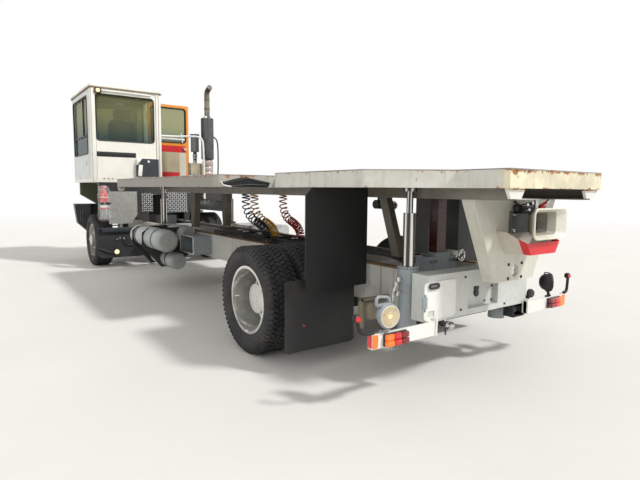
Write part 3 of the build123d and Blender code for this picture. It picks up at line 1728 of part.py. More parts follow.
# Upright exhaust with a turned-back tip, and the air intake beside it, both on the platform
with BuildPart() as exhaust:
    for radius, low, high in stack_table:
        post(stack_x, stack_y, (low, high), radius)
    circles = exhaust.edges().filter_by(GeomType.CIRCLE)
    muffler_rims = circles.filter_by(lambda rim: rim.radius > stack_pipe_radius + stack_shoulder)
    fillet(muffler_rims, radius=stack_shoulder)
    elbow_low = stack_table[-1][2] - cut_over
    with BuildLine():
        FilletPolyline(
            (stack_x, stack_y, elbow_low),
            (stack_x, stack_y, stack_tip[1]),
            (stack_x + stack_tip[0], stack_y, stack_tip[1] + 60),
            radius=[stack_elbow_round],
        )
    with BuildSketch(Plane(origin=(stack_x, stack_y, elbow_low), z_dir=(0, 0, 1))):
        Circle(stack_pipe_radius)
    sweep()
    for radius, low, high in intake_table:
        post(intake_x, intake_y, (low, high), radius)
finish(exhaust, "exhaust")

# Coiled air lines, as the outer tube that their turns fill
for hose_name, top_y, foot_y in hose_table:
    foot = Vector(hose_chassis_x, foot_y, crossmember_z[1] + port_height)
    top = Vector(hose_deck_x, top_y, fascia_bottom - port_height)
    lower_bend = foot + Vector(0, 0, hose_straight)
    upper_bend = top - Vector(0, 0, hose_straight)
    runs = [hose_straight, (upper_bend - lower_bend).length, hose_straight]
    turn = Vector(0, 0, 1).get_angle(upper_bend - lower_bend)
    bend_radius = 0.45 * hose_straight / tan(radians(turn / 2))
    print(hose_name, "air line: runs", [round(run) for run in runs], "bend radius", round(bend_radius))
    with BuildPart() as air_line:
        with BuildLine():
            FilletPolyline(foot, lower_bend, upper_bend, top, radius=[bend_radius, bend_radius])
        with BuildSketch(Plane(origin=foot, z_dir=(0, 0, 1))):
            Circle(hose_radius)
        sweep()
    finish(air_line, f"air_line_{hose_name}")
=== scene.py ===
"""Looks of the terminal tractor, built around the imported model. Metres, X forward, Y left, Z up."""

import math

import bmesh
import bpy
from mathutils import Matrix, Vector, noise


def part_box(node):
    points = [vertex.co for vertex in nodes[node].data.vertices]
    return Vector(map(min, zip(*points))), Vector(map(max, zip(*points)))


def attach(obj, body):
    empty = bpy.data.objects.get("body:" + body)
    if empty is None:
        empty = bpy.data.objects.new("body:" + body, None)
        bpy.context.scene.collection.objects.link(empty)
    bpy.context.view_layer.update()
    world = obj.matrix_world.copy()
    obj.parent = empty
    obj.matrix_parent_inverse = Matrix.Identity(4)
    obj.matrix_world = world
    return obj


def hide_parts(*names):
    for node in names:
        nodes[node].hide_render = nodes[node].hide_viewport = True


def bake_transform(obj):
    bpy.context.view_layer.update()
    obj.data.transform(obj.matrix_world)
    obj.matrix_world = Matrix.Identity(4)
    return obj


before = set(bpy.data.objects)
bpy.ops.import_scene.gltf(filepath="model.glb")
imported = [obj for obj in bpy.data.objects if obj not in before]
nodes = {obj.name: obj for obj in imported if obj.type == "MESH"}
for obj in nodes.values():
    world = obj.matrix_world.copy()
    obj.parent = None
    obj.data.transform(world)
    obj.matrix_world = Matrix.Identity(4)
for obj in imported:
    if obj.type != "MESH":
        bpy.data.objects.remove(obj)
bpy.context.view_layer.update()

AHEAD = Vector((1, 0, 0))
ACROSS = Vector((0, 1, 0))
UP = Vector((0, 0, 1))
BACKWARD = (-1, 0, 0)
SIDES = (1, -1)
LABELS = {1: "left", -1: "right"}


def middle(node):
    """The middle of a node's box."""
    low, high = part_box(node)
    return (low + high) / 2


rear_axle = middle("rear_tyres_left")
rear = rear_axle.x
front = middle("front_tyre_left").x
tyre_low, tyre_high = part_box("front_tyre_left")
tyre_radius = (tyre_high.z - tyre_low.z) / 2
tyre_half_width = (tyre_high.y - tyre_low.y) / 2
deck_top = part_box("deck_frame")[1].z
plate_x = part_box("deck_rear_plate")[0].x
cab_high = Vector(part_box("cab_front_wall")[1])
box_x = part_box("rear_box")[0].x
bar_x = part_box("light_bars")[0].x

# The camera is placed from the rear axle: where it stands, and how it is turned
CAMERA_PLACE = (-3.844, 3.2035, 1.429)
CAMERA_YAW = -0.6256
CAMERA_PITCH = 0.0995
CAMERA_ROLL = 0.0087
FOCAL_PIXELS = 500
PHOTO_WIDTH = 640
SENSOR = 36.0


def add_camera():
    """The camera at the photograph's place, level apart from a small roll."""
    data = bpy.data.cameras.new("camera")
    data.sensor_width = SENSOR
    data.lens = SENSOR * FOCAL_PIXELS / PHOTO_WIDTH
    camera = bpy.data.objects.new("camera", data)
    bpy.context.scene.collection.objects.link(camera)
    level = math.cos(CAMERA_PITCH)
    back = -Vector((math.cos(CAMERA_YAW) * level, math.sin(CAMERA_YAW) * level, -math.sin(CAMERA_PITCH)))
    right = Vector((math.sin(CAMERA_YAW), -math.cos(CAMERA_YAW), 0))
    up = back.cross(right)
    turned_right = right * math.cos(CAMERA_ROLL) + up * math.sin(CAMERA_ROLL)
    turned_up = up * math.cos(CAMERA_ROLL) - right * math.sin(CAMERA_ROLL)
    turn = Matrix((turned_right, turned_up, back)).transposed().to_4x4()
    camera.matrix_world = Matrix.Translation(Vector(CAMERA_PLACE) + AHEAD * rear) @ turn
    bpy.context.scene.camera = camera


def seen(colour):
    """A colour as the eye sees it, 0 to 255, in linear values."""
    return tuple((c / 255 / 12.92) if c < 11 else ((c / 255 + 0.055) / 1.055) ** 2.4 for c in colour)


def add_node(tree, kind, inputs=None, **settings):
    """One shader node with its settings, and its inputs as values or links."""
    made = tree.nodes.new(kind)
    for key, value in settings.items():
        setattr(made, key, value)
    for key, value in (inputs or {}).items():
        if isinstance(value, bpy.types.NodeSocket):
            tree.links.new(value, made.inputs[key])
        else:
            made.inputs[key].default_value = value
    return made


class Shading:
    """A material under construction, with its coordinates in the row frame."""

    def __init__(self, name):
        self.material = bpy.data.materials.new(name)
        self.material.use_nodes = True
        self.tree = self.material.node_tree
        self.shader = self.tree.nodes["Principled BSDF"]
        self.place = add_node(self.tree, "ShaderNodeTexCoord").outputs["Object"]

    def cloud(self, scale, detail=5.0, roughness=0.6, stretch=None):
        """Soft noise, from 0 to 1, that may be stretched along an axis."""
        place = self.place
        if stretch:
            place = add_node(self.tree, "ShaderNodeMapping", {"Vector": place, "Scale": stretch}).outputs[0]
        values = {"Vector": place, "Scale": scale, "Detail": detail, "Roughness": roughness}
        return add_node(self.tree, "ShaderNodeTexNoise", values).outputs["Fac"]

    def ramp(self, value, low, high, start=0.0, end=1.0):
        """A value stretched from low..high to start..end and held there."""
        values = {"Value": value, "From Min": low, "From Max": high, "To Min": start, "To Max": end}
        return add_node(self.tree, "ShaderNodeMapRange", values).outputs["Result"]

    def math(self, kind, first, second):
        """Two values put together."""
        return add_node(self.tree, "ShaderNodeMath", {0: first, 1: second}, operation=kind).outputs[0]

    def along(self, axis):
        """The position along X, Y or Z."""
        return add_node(self.tree, "ShaderNodeSeparateXYZ", {0: self.place}).outputs["XYZ".index(axis)]

    def mix(self, share, first, second):
        """Two colours mixed; each is 0 to 255 as seen, or the result of another mix."""
        first = (*seen(first), 1) if isinstance(first, tuple) else first
        second = (*seen(second), 1) if isinstance(second, tuple) else second
        return add_node(self.tree, "ShaderNodeMix", {0: share, 6: first, 7: second},
                        data_type="RGBA").outputs[2]

    def give(self, name, value):
        """Sets a socket of the surface's shader, or links it."""
        if isinstance(value, bpy.types.NodeSocket):
            self.tree.links.new(value, self.shader.inputs[name])
        else:
            self.shader.inputs[name].default_value = value

    def bump(self, height, strength=0.2, distance=0.002):
        """Relief that the light shows."""
        values = {"Height": height, "Strength": strength, "Distance": distance}
        self.give("Normal", add_node(self.tree, "ShaderNodeBump", values).outputs["Normal"])


RUST_DARK = (92, 58, 36)
RUST_LIGHT = (176, 112, 58)


def painted(name, base, dirt, dirt_share, rust=0.0, rust_scale=6.0, streaks=0.0, rough=0.45, bands=(),
            metallic=0.0, grain=90.0, relief=0.12, streak_tint=None):
    """Paint with soft dirt, streaks that run down, and rust where the noise is above its limit.

    bands are (axis, from, to, colour).
    """
    made = Shading(name)
    colour = base
    for axis, low, high, tint in bands:
        place = made.along(axis)
        inside = made.math("MULTIPLY", made.ramp(place, low - 0.001, low),
                           made.ramp(place, high + 0.001, high))
        colour = made.mix(inside, colour, tint)
    colour = made.mix(made.ramp(made.cloud(1.7, 7), 0.42, 0.68, 0, dirt_share), colour, dirt)
    colour = made.mix(made.ramp(made.cloud(22, 8, 0.75), 0.5, 0.72, 0, dirt_share * 0.8), colour, dirt)
    if streaks:
        run = made.ramp(made.cloud(1, 4, 0.6, (26, 26, 1.6)), 0.55, 0.78, 0, streaks)
        colour = made.mix(run, colour, streak_tint or dirt)
    rough_value = made.ramp(made.cloud(9), 0.3, 0.7, rough - 0.08, rough + 0.14)
    height = made.cloud(grain, 3)
    if rust:
        edge = 0.74 - 0.24 * rust
        mask = made.ramp(made.cloud(rust_scale, 9, 0.72), edge, edge + 0.05)
        tint = made.mix(made.ramp(made.cloud(38, 6), 0.35, 0.65), RUST_DARK, RUST_LIGHT)
        colour = made.mix(mask, colour, tint)
        rough_value = made.math("MAXIMUM", rough_value, made.ramp(mask, 0, 1, 0, 0.9))
        height = made.math("ADD", height, made.ramp(mask, 0, 1, 0, 0.8))
    made.give("Base Color", colour)
    made.give("Roughness", rough_value)
    made.give("Metallic", metallic)
    made.bump(height, relief)
    return made.material


def metal(name, base, dirt, share, rough, scale, metallic):
    """Bare or plated metal with dirt in soft patches."""
    made = Shading(name)
    patch = made.ramp(made.cloud(scale, 8, 0.7), 0.46, 0.66, 0, share)
    made.give("Base Color", made.mix(patch, base, dirt))
    made.give("Roughness", made.ramp(patch, 0, 1, rough, 0.7))
    made.give("Metallic", metallic)
    made.bump(made.cloud(160, 2), 0.05)
    return made.material


def bar_metal_painted_reflection(name, reflection_waves, dark, light, dirt, rough=0.12):
    """Polished round bars: bright and dark bands around each bar's own middle, painted as a reflection, with
    dirt.
    """
    made = Shading(name)
    normal = add_node(made.tree, "ShaderNodeTexCoord").outputs["Normal"]
    parts = add_node(made.tree, "ShaderNodeSeparateXYZ", {0: normal}).outputs
    # Painted reflection: dark and light bands set by which way the surface faces round the bar
    turn = made.math("ARCTAN2", parts[1], parts[0])
    band = made.ramp(made.math("SINE", made.math("MULTIPLY", turn, reflection_waves), 0.0), -0.5, 0.7)
    patch = made.ramp(made.cloud(3, 8, 0.7), 0.5, 0.7, 0, 0.4)
    made.give("Base Color", made.mix(patch, made.mix(band, dark, light), dirt))
    made.give("Roughness", made.ramp(patch, 0, 1, rough, 0.6))
    made.give("Metallic", 0.85)
    return made.material


# Radii between which a rear rim goes from its bright barrel to its dark disc
DISC_EDGE = (0.266, 0.258)


def rim_metal(name, axle):
    """A polished rim barrel with brown brake dust, round a dark disc."""
    made = Shading(name)
    parts = add_node(made.tree, "ShaderNodeSeparateXYZ", {0: made.place}).outputs
    across = made.math("SUBTRACT", parts[0], axle.x)
    up = made.math("SUBTRACT", parts[2], axle.z)
    squared = made.math("ADD", made.math("MULTIPLY", across, across), made.math("MULTIPLY", up, up))
    disc = made.ramp(made.math("POWER", squared, 0.5), *DISC_EDGE)
    dust = made.ramp(made.cloud(8, 8, 0.7), 0.50, 0.66, 0, 0.32)
    bright = made.mix(dust, (214, 214, 210), (138, 122, 98))
    dark = made.mix(dust, (72, 66, 58), (44, 38, 34))
    made.give("Base Color", made.mix(disc, bright, dark))
    made.give("Roughness", made.ramp(made.math("MAXIMUM", disc, dust), 0, 1, 0.12, 0.6))
    made.give("Metallic", made.ramp(disc, 0, 1, 0.6, 0.2))
    made.bump(made.cloud(120, 3), 0.06)
    return made.material


def rubber(name, base, dust, share, rough, scale=3.0):
    """Black rubber or plastic with pale dust."""
    made = Shading(name)
    patch = made.ramp(made.cloud(scale, 8, 0.7), 0.42, 0.74, 0, share)
    specks = made.ramp(made.cloud(60, 4, 0.8), 0.66, 0.72, 0, share)
    made.give("Base Color", made.mix(specks, made.mix(patch, base, dust), dust))
    made.give("Roughness", made.ramp(patch, 0, 1, rough, 0.95))
    made.bump(made.cloud(120.0, 4), 0.15)
    return made.material


def lens(name, base, glow):
    """A lamp's coloured lens, with a fluted relief and a little glow."""
    made = Shading(name)
    light = (*seen(base), 1)
    shade = (*(c * 0.55 for c in seen(base)), 1)
    share = made.ramp(made.cloud(30, 4), 0.4, 0.7, 0, 0.35)
    mixed = add_node(made.tree, "ShaderNodeMix", {0: share, 6: light, 7: shade}, data_type="RGBA")
    made.give("Base Color", mixed.outputs[2])
    made.give("Roughness", 0.15)
    made.give("Coat Weight", 0.6)
    made.give("Emission Color", light)
    made.give("Emission Strength", glow)
    flutes = add_node(made.tree, "ShaderNodeTexWave", {"Vector": made.place, "Scale": 45.0},
                      bands_direction="Y")
    made.bump(flutes.outputs["Fac"], 0.25)
    return made.material


# Heights between which the cab's panes change from their lower tint to their upper one
WINDOW_FOOT = 2.30
WINDOW_MIDDLE = 2.72


def clear(name, tint, dust, transmission, foot=None):
    """See-through glass or plastic with a film of dust; foot is the tint at a window's lower edge."""
    made = Shading(name)
    if foot:
        tint = made.mix(made.ramp(made.along("Z"), WINDOW_FOOT, WINDOW_MIDDLE), foot, tint)
    film = made.ramp(made.cloud(2.2, 7, 0.7), 0.4, 0.75, 0, dust)
    made.give("Base Color", made.mix(film, tint, (190, 186, 170)))
    made.give("Roughness", made.ramp(film, 0, 1, 0.03, 0.9))
    made.give("Transmission Weight", made.ramp(film, 0, 1, transmission, 0.2))
    made.give("IOR", 1.08)
    return made.material


def creased_film(name):
    """Thin clear plastic: see-through, with white creases painted as highlights."""
    made = Shading(name)
    # Painted highlights: the film turns white and less clear along its creases, where light would glint
    painted_crease_highlights = made.ramp(made.cloud(26, 6, 0.75, (1, 1, 0.5)), 0.5, 0.66)
    made.give("Base Color", made.mix(painted_crease_highlights, (206, 208, 206), (244, 244, 242)))
    made.give("Alpha", made.ramp(painted_crease_highlights, 0, 1, 0.16, 0.62))
    made.give("Roughness", 0.12)
    made.bump(made.cloud(26, 6), 0.6, 0.01)
    return made.material


# Places along X between which the deck's rim changes its tint, in front and at the rear end
FRONT_FADE = (-2.3, -2.0)
REAR_FADE = (-4.70, -4.765)


def deck_rim(name):
    """The deck's rim: greyer in front, cream behind, with rust along the edges of its rear face."""
    made = Shading(name)
    in_front = made.ramp(made.along("X"), *FRONT_FADE)
    behind = made.ramp(made.along("X"), *REAR_FADE)
    base = made.mix(in_front, (200, 199, 190), (138, 134, 126))
    base = made.mix(behind, base, (228, 219, 188))
    base = made.mix(made.ramp(made.cloud(2.6, 8, 0.7), 0.45, 0.66, 0, 0.45), base, (146, 138, 120))
    base = made.mix(made.ramp(made.cloud(1, 5, 0.6, (20, 20, 1.4)), 0.52, 0.8, 0, 0.5), base, (134, 118, 92))
    height = made.along("Z")
    top = made.ramp(height, deck_top - 0.035, deck_top)
    bottom = made.ramp(height, deck_top - 0.092, deck_top - 0.12)
    lugs = made.ramp(height, deck_top - 0.120, deck_top - 0.126)
    base = made.mix(lugs, base, (214, 213, 206))
    edge = made.math("MAXIMUM", top, made.math("SUBTRACT", bottom, lugs))
    noise_value = made.cloud(9, 9, 0.75)
    amount = made.math("ADD", made.ramp(behind, 0, 1, 0.10, 0.20), made.ramp(in_front, 0, 1, 0, 0.06))
    mask = made.ramp(made.math("ADD", noise_value, made.math("MULTIPLY", edge, amount)), 0.63, 0.70)
    tint = made.mix(made.ramp(made.cloud(30, 6), 0.35, 0.65), RUST_DARK, RUST_LIGHT)
    made.give("Base Color", made.mix(mask, base, tint))
    made.give("Roughness", made.ramp(mask, 0, 1, 0.5, 0.9))
    made.bump(made.math("ADD", made.cloud(80, 3), mask), 0.2)
    return made.material


# Spacing of the tread plate's lozenges, along both diagonals
CHECK_PITCH = 0.076


def tread_plate(name, base, dirt):
    """Tread plate: raised lozenges in two directions, worn bright and with a painted glint on their tops."""
    made = Shading(name)
    across = made.along("Y")
    up = made.math("ADD", made.along("Z"), made.along("X"))
    rising = made.math("DIVIDE", made.math("ADD", across, up), CHECK_PITCH)
    falling = made.math("DIVIDE", made.math("SUBTRACT", across, up), CHECK_PITCH)
    first = made.math("PINGPONG", rising, 0.5)
    second = made.math("PINGPONG", falling, 0.5)
    lozenge = made.math("ADD", first, made.math("MULTIPLY", second, 3.0))
    turned_first = made.math("SUBTRACT", 0.5, first)
    turned_second = made.math("SUBTRACT", 0.5, second)
    turned = made.math("ADD", turned_second, made.math("MULTIPLY", turned_first, 3.0))
    raised = made.ramp(made.math("MINIMUM", lozenge, turned), 0.46, 0.38)
    soft = made.ramp(made.cloud(4, 8, 0.7), 0.44, 0.66, 0, 0.7)
    # The raised tops are worn bright and also carry a painted glint: pale, as if catching the light
    wear_and_glint = made.math("MULTIPLY", raised, 0.9)
    made.give("Base Color", made.mix(wear_and_glint, made.mix(soft, base, dirt), (232, 232, 228)))
    made.give("Metallic", 0.75)
    made.give("Roughness", made.ramp(soft, 0, 1, 0.32, 0.7))
    made.bump(raised, 0.6, 0.004)
    return made.material


WHITE = (228, 226, 216)
BLACK = (34, 34, 36)
BLACK_DIRT = (74, 70, 62)

# columns: base colour, dirt, share of dirt, what else is set
PAINTS = {
    "frame": ((184, 184, 178), (128, 118, 100), 0.4,
              dict(rust=0.45, streaks=0.85, streak_tint=(136, 100, 60))),
    "rear_box": ((200, 204, 200), (158, 152, 136), 0.35, dict(rust=0.22, streaks=0.5)),
    "deck_top": ((150, 146, 136), (96, 88, 76), 0.7, dict(rust=0.55, rust_scale=3)),
    "deck_under": ((126, 122, 112), (84, 76, 66), 0.6, dict(rust=0.5)),
    "rear_plate": ((204, 203, 190), (158, 152, 134), 0.3, dict(rust=0.3, rust_scale=9, streaks=0.3)),
    "column": ((84, 36, 24), (36, 22, 18), 0.7, dict(rust=0.1, rough=0.25)),
    "legs": ((104, 98, 84), (64, 56, 46), 0.6, dict(rust=0.4, bands=(("Y", -0.2, 0.2, (66, 68, 68)),))),
    "cab": (WHITE, (178, 172, 150), 0.22, dict(rust=0.06, rust_scale=14, streaks=0.22, rough=0.32)),
    "cab_rear": (WHITE, (186, 180, 156), 0.22, dict(
        rust=0.06, rust_scale=14, streaks=0.25, rough=0.32, bands=(("Z", 1.50, 1.60, (206, 204, 170)),))),
    # cab_shade: the cab's left wall, painted greyer than the rest of the cab as painted shade
    "cab_shade": ((206, 208, 204), (160, 158, 146), 0.25, dict(streaks=0.2, rough=0.35)),
    "roof": ((224, 222, 210), (128, 120, 98), 0.4, dict(
        rust=0.1, streaks=0.3, bands=(("Z", 3.17, 3.196, (150, 142, 118)),))),
    "cylinder": ((146, 154, 158), (110, 108, 100), 0.3, dict(rust=0.1, rough=0.38)),
    "tank": ((166, 172, 170), (120, 116, 104), 0.45, dict(rust=0.16, rough=0.4)),
    "outrigger": ((140, 148, 152), (104, 102, 94), 0.4, dict(rust=0.18)),
    "white": ((228, 228, 222), (176, 170, 150), 0.25, dict(rust=0.16, rust_scale=16, streaks=0.2)),
    "canister": ((128, 120, 102), (84, 74, 60), 0.6, dict(rust=0.3)),
    "plank": ((112, 84, 56), (66, 50, 38), 0.6, dict(rough=0.8, relief=0.4)),
    "blue_black": ((34, 40, 48), (66, 66, 64), 0.35, {}),
    # mouth: its two bands along X darken the funnel towards its depth, painted shade inside the coupling
    # mouth
    "mouth": ((226, 224, 214), (168, 156, 104), 0.5, dict(
        rust=0.3, rust_scale=18,
        bands=(("X", -4.70, -4.50, (150, 148, 138)), ("X", -4.66, -4.50, (84, 80, 72))))),
    "red": ((206, 34, 38), (130, 26, 26), 0.35, dict(rust=0.1, rough=0.35)),
    "tray": ((210, 34, 42), (140, 26, 30), 0.3, dict(
        rust=0.1, rough=0.35, bands=(("X", -4.645, -4.40, (196, 194, 180)),))),
    "iron": ((112, 114, 112), (58, 54, 50), 0.6, dict(rust=0.3, metallic=0.3)),
    "black_paint": (BLACK, BLACK_DIRT, 0.4, dict(rust=0.05, rough=0.4)),
    "bay": (BLACK, BLACK_DIRT, 0.4, dict(rust=0.05, rough=0.4, bands=(("X", 4.38, 4.60, (78, 82, 60)),))),
    "engine": ((66, 68, 70), (38, 34, 30), 0.7, dict(rust=0.3)),
    "green": ((44, 74, 60), (60, 58, 44), 0.5, dict(rough=0.4)),
    "panel": ((168, 168, 162), (138, 136, 128), 0.35, dict(rough=0.25, metallic=0.3)),
    "orange": ((232, 142, 34), (186, 150, 70), 0.35, dict(rust=0.12, rough=0.35)),
    "beige": ((186, 172, 142), (140, 126, 100), 0.5, dict(rough=0.5)),
    "pale_strip": ((208, 202, 186), (168, 160, 140), 0.3, {}),
    "mottled": ((176, 166, 140), (108, 96, 74), 0.9, dict(rust=0.35, rust_scale=12)),
    "silencer": ((206, 198, 190), (138, 112, 106), 0.6,
                 dict(rust=0.2, rust_scale=12, rough=0.3, metallic=0.5)),
    "exhaust": ((96, 98, 98), (44, 44, 44), 0.75,
                dict(rust=0.12, rough=0.5, metallic=0.4, streaks=0.7, bands=(
        ("Z", 2.83, 3.3, (136, 126, 112)), ("Z", 3.3, 3.5, (96, 84, 74)),
        ("Z", 1.73, 2.0, (196, 190, 182))))),
    "front_rim": ((196, 196, 190), (96, 84, 66), 0.8, dict(rust=0.25, metallic=0.3)),
    "hub": ((216, 216, 210), (164, 158, 144), 0.4, dict(rough=0.35)),
    "axle": ((46, 44, 42), (80, 70, 56), 0.7, dict(rust=0.3)),
    "cloth": ((44, 46, 50), (70, 68, 64), 0.35, dict(rough=0.85, grain=420, relief=0.5)),
    "brown": ((96, 68, 48), (60, 44, 34), 0.4, dict(rough=0.5)),
    "hose_yellow": ((226, 172, 40), (150, 112, 40), 0.4, dict(rough=0.35)),
    "hose_red": ((196, 36, 40), (120, 30, 30), 0.4, dict(rough=0.35)),
}
# columns: base colour, dirt, share of dirt, roughness, size of the patches, metallic
METALS = {
    "reflector": ((232, 222, 200), (176, 156, 120), 0.6, 0.25, 14.0, 0.5),
    "aluminium": ((196, 197, 196), (120, 116, 106), 0.6, 0.3, 5.0, 1.0),
    "chrome": ((214, 214, 214), (120, 112, 98), 0.35, 0.08, 3.0, 1.0),
}
# columns: base colour, dust, share of dust, roughness, and for the tyre the size of its patches
RUBBERS = {
    "tyre": ((38, 38, 40), (96, 92, 84), 0.4, 0.8, 5.0),
    "flap": ((13, 13, 15), (52, 50, 46), 0.22, 0.5),
    "low_flap": ((27, 27, 29), (70, 67, 62), 0.35, 0.6),
    "plastic": ((34, 35, 38), (84, 82, 76), 0.3, 0.5),
    "bumper": ((56, 57, 60), (108, 106, 100), 0.45, 0.5),
    "grey_plastic": ((120, 122, 120), (160, 156, 144), 0.4, 0.5),
    "seal": ((16, 16, 17), (60, 58, 54), 0.15, 0.45),
    "hose_black": ((26, 26, 28), (90, 88, 82), 0.25, 0.4),
}
# columns: colour, glow
LENSES = {
    "lens_red": ((190, 20, 26), 0.25),
    "lens_dark": ((120, 12, 20), 0.05),
    "lens_orange": ((240, 112, 30), 0.3),
    "lens_warm": ((248, 226, 176), 0.55),
    "lens_white": ((226, 228, 226), 0.15),
}

finishes = {name: painted(name, *row[:3], **row[3]) for name, row in PAINTS.items()}
finishes.update({name: metal(name, *row) for name, row in METALS.items()})
finishes.update({name: rubber(name, *row) for name, row in RUBBERS.items()})
finishes.update({name: lens(name, *row) for name, row in LENSES.items()})
finishes.update({
    "deck_edge": deck_rim("deck_edge"),
    "lift_chrome_painted_reflection": bar_metal_painted_reflection("lift_chrome_painted_reflection", 5.0, (70, 66, 62), (226, 224, 218), (120, 108, 88)),
    "rear_rim": rim_metal("rear_rim", rear_axle),
    "chequer": tread_plate("chequer", (84, 86, 88), (56, 54, 50)),
    "glass": clear("glass", (168, 170, 132), 0.1, 0.80, (104, 126, 124)),
    "lamp_glass": clear("lamp_glass", (240, 232, 214), 0.3, 0.9),
    "wrap": creased_film("wrap"),
})


# Forms: each gives a function that adds it to a mesh in the row frame
def box(low, high, bevel=0.003, turn=None):
    """A box between two corners with softened edges, turned about its middle."""
    def form(mesh):
        start, end = Vector(low), Vector(high)
        verts = bmesh.ops.create_cube(mesh, size=1)["verts"]
        place = Matrix.Translation((start + end) / 2) @ (turn or Matrix()) @ Matrix.Diagonal((*(end - start),
                                                                                              1))
        bmesh.ops.transform(mesh, matrix=place, verts=verts)
        if bevel:
            edges = list({edge for vert in verts for edge in vert.link_edges})
            bmesh.ops.bevel(mesh, geom=edges, offset=bevel, segments=2, affect="EDGES", profile=0.5)
    return form


def upright(axis):
    """The turn that brings Z to an axis."""
    return Vector(axis).to_track_quat("Z", "Y").to_matrix().to_4x4()


def rod(low, high, radius, end_radius=None, sides=20):
    """A round bar or cone between two points."""
    def form(mesh):
        start, end = Vector(low), Vector(high)
        bmesh.ops.create_cone(
            mesh, cap_ends=True, segments=sides, radius1=radius, radius2=radius if end_radius is None
            else end_radius,
            depth=(end - start).length, matrix=Matrix.Translation((start + end) / 2) @ upright(end - start))
    return form


def bolts(places, axis, radius=0.009, height=0.008):
    """Six-sided bolt heads that stand out along an axis."""
    def form(mesh):
        for place in places:
            rod(place, Vector(place) + Vector(axis) * height, radius, sides=6)(mesh)
    return form


def join(mesh, first, second):
    """Faces between two rings, either of which may be one point."""
    count = max(len(first), len(second))
    for step in range(count):
        after = (step + 1) % count
        corners = [first[step % len(first)], second[step % len(second)]]
        if len(second) > 1:
            corners.append(second[after])
        if len(first) > 1:
            corners.append(first[after])
        if len(corners) > 2:
            mesh.faces.new(corners)


def lathe(centre, axis, outline, sides=48, closed=False):
    """A form turned about an axis; its outline is points of (along the axis, radius)."""
    def form(mesh):
        turn = Matrix.Translation(Vector(centre)) @ upright(axis)
        rings = []
        for along, radius in outline:
            steps = sides if radius > 1e-6 else 1
            angles = [2 * math.pi * step / steps for step in range(steps)]
            ring = [turn @ Vector((radius * math.cos(a), radius * math.sin(a), along)) for a in angles]
            rings.append([mesh.verts.new(point) for point in ring])
        for first, second in zip(rings, rings[1:]):
            join(mesh, first, second)
        if closed:
            join(mesh, rings[-1], rings[0])
    return form


def tube(points, radius, sides=10, closed=False):
    """A round tube that follows points, with its ends capped."""
    def form(mesh):
        line = [Vector(point) for point in points]
        count = len(line)
        side = None
        rings = []
        for index, point in enumerate(line):
            before = line[index - 1] if index or closed else point
            after = line[(index + 1) % count] if index + 1 < count or closed else point
            forward = (after - before).normalized()
            if side is None:
                side = forward.orthogonal().normalized()
            side = (side - forward * side.dot(forward)).normalized()
            ring = circle(point, side * radius, forward.cross(side) * radius, sides)
            rings.append([mesh.verts.new(place) for place in ring])
        for first, second in zip(rings, rings[1:]):
            join(mesh, first, second)
        if closed:
            join(mesh, rings[-1], rings[0])
        else:
            mesh.faces.new(rings[0])
            mesh.faces.new(rings[-1])
    return form


def bent(points, radius, steps=8, sides=10):
    """A tube along a soft line through chosen points."""
    return tube(smooth_line(points, steps), radius, sides)


def plate(corners, thickness):
    """A flat outline pushed out along a vector."""
    def form(mesh):
        face = mesh.faces.new([mesh.verts.new(Vector(corner)) for corner in corners])
        grown = bmesh.ops.extrude_face_region(mesh, geom=[face])["geom"]
        moved = [item for item in grown if isinstance(item, bmesh.types.BMVert)]
        bmesh.ops.translate(mesh, vec=Vector(thickness), verts=moved)
    return form


def circle(centre, across, up, count):
    """Points around a circle or an ellipse with two half axes."""
    angles = [2 * math.pi * step / count for step in range(count)]
    return [Vector(centre) + Vector(across) * math.cos(a) + Vector(up) * math.sin(a) for a in angles]


def rounded_loop(centre, half_width, half_height, corner, across=ACROSS, up=UP, steps=6):
    """Points around a rectangle with round corners."""
    points = []
    for quarter, (right, top) in enumerate(((1, 1), (-1, 1), (-1, -1), (1, -1))):
        for step in range(steps + 1):
            angle = math.radians(90 * quarter + 90 * step / steps)
            right_by = right * (half_width - corner) + corner * math.cos(angle)
            up_by = top * (half_height - corner) + corner * math.sin(angle)
            points.append(Vector(centre) + across * right_by + up * up_by)
    return points


def smooth_line(points, steps=8):
    """A soft line through chosen points."""
    points = [Vector(point) for point in points]
    line = []
    for index in range(len(points) - 1):
        before = points[max(index - 1, 0)]
        start = points[index]
        end = points[index + 1]
        after = points[min(index + 2, len(points) - 1)]
        bend = 2 * before - 5 * start + 4 * end - after
        twist = 3 * start - before - 3 * end + after
        for step in range(steps):
            part = step / steps
            line.append(0.5 * ((2 * start) + (end - before) * part + bend * part * part + twist * part ** 3))
    line.append(points[-1])
    return line


def add(name, finish, slot, *forms, body="chassis", sharp=35, stands_for=None):
    """A piece made of forms, riding on its body; with no body it stays free."""
    mesh = bmesh.new()
    for form in forms:
        form(mesh)
    bmesh.ops.recalc_face_normals(mesh, faces=mesh.faces)
    data = bpy.data.meshes.new(name)
    mesh.to_mesh(data)
    mesh.free()
    data.shade_smooth()
    data.set_sharp_from_angle(angle=math.radians(sharp))
    data.materials.append(finishes[finish])
    made = bpy.data.objects.new(name, data)
    bpy.context.scene.collection.objects.link(made)
    if body:
        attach(made, body)
    if stands_for:
        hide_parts(stands_for)
    return made


# The coiled air lines: feet on the chassis, heads under the deck, in the same places as the solids
HOSE_CHASSIS_X = rear + 1.2
HOSE_DECK_X = rear + 1.65
HOSE_FOOT_Z = 0.835
HOSE_HEAD_Z = 1.415
COIL_RADIUS = 0.046
HOSE_RADIUS = 0.0075
TURN_STEPS = 24
COIL_TAPER = 0.05
# columns: share of the length where a stretch of the coil ends, turns in it
COIL_STRETCHES = ((0.40, 12.0), (0.88, 6.5), (1.0, 3.0))


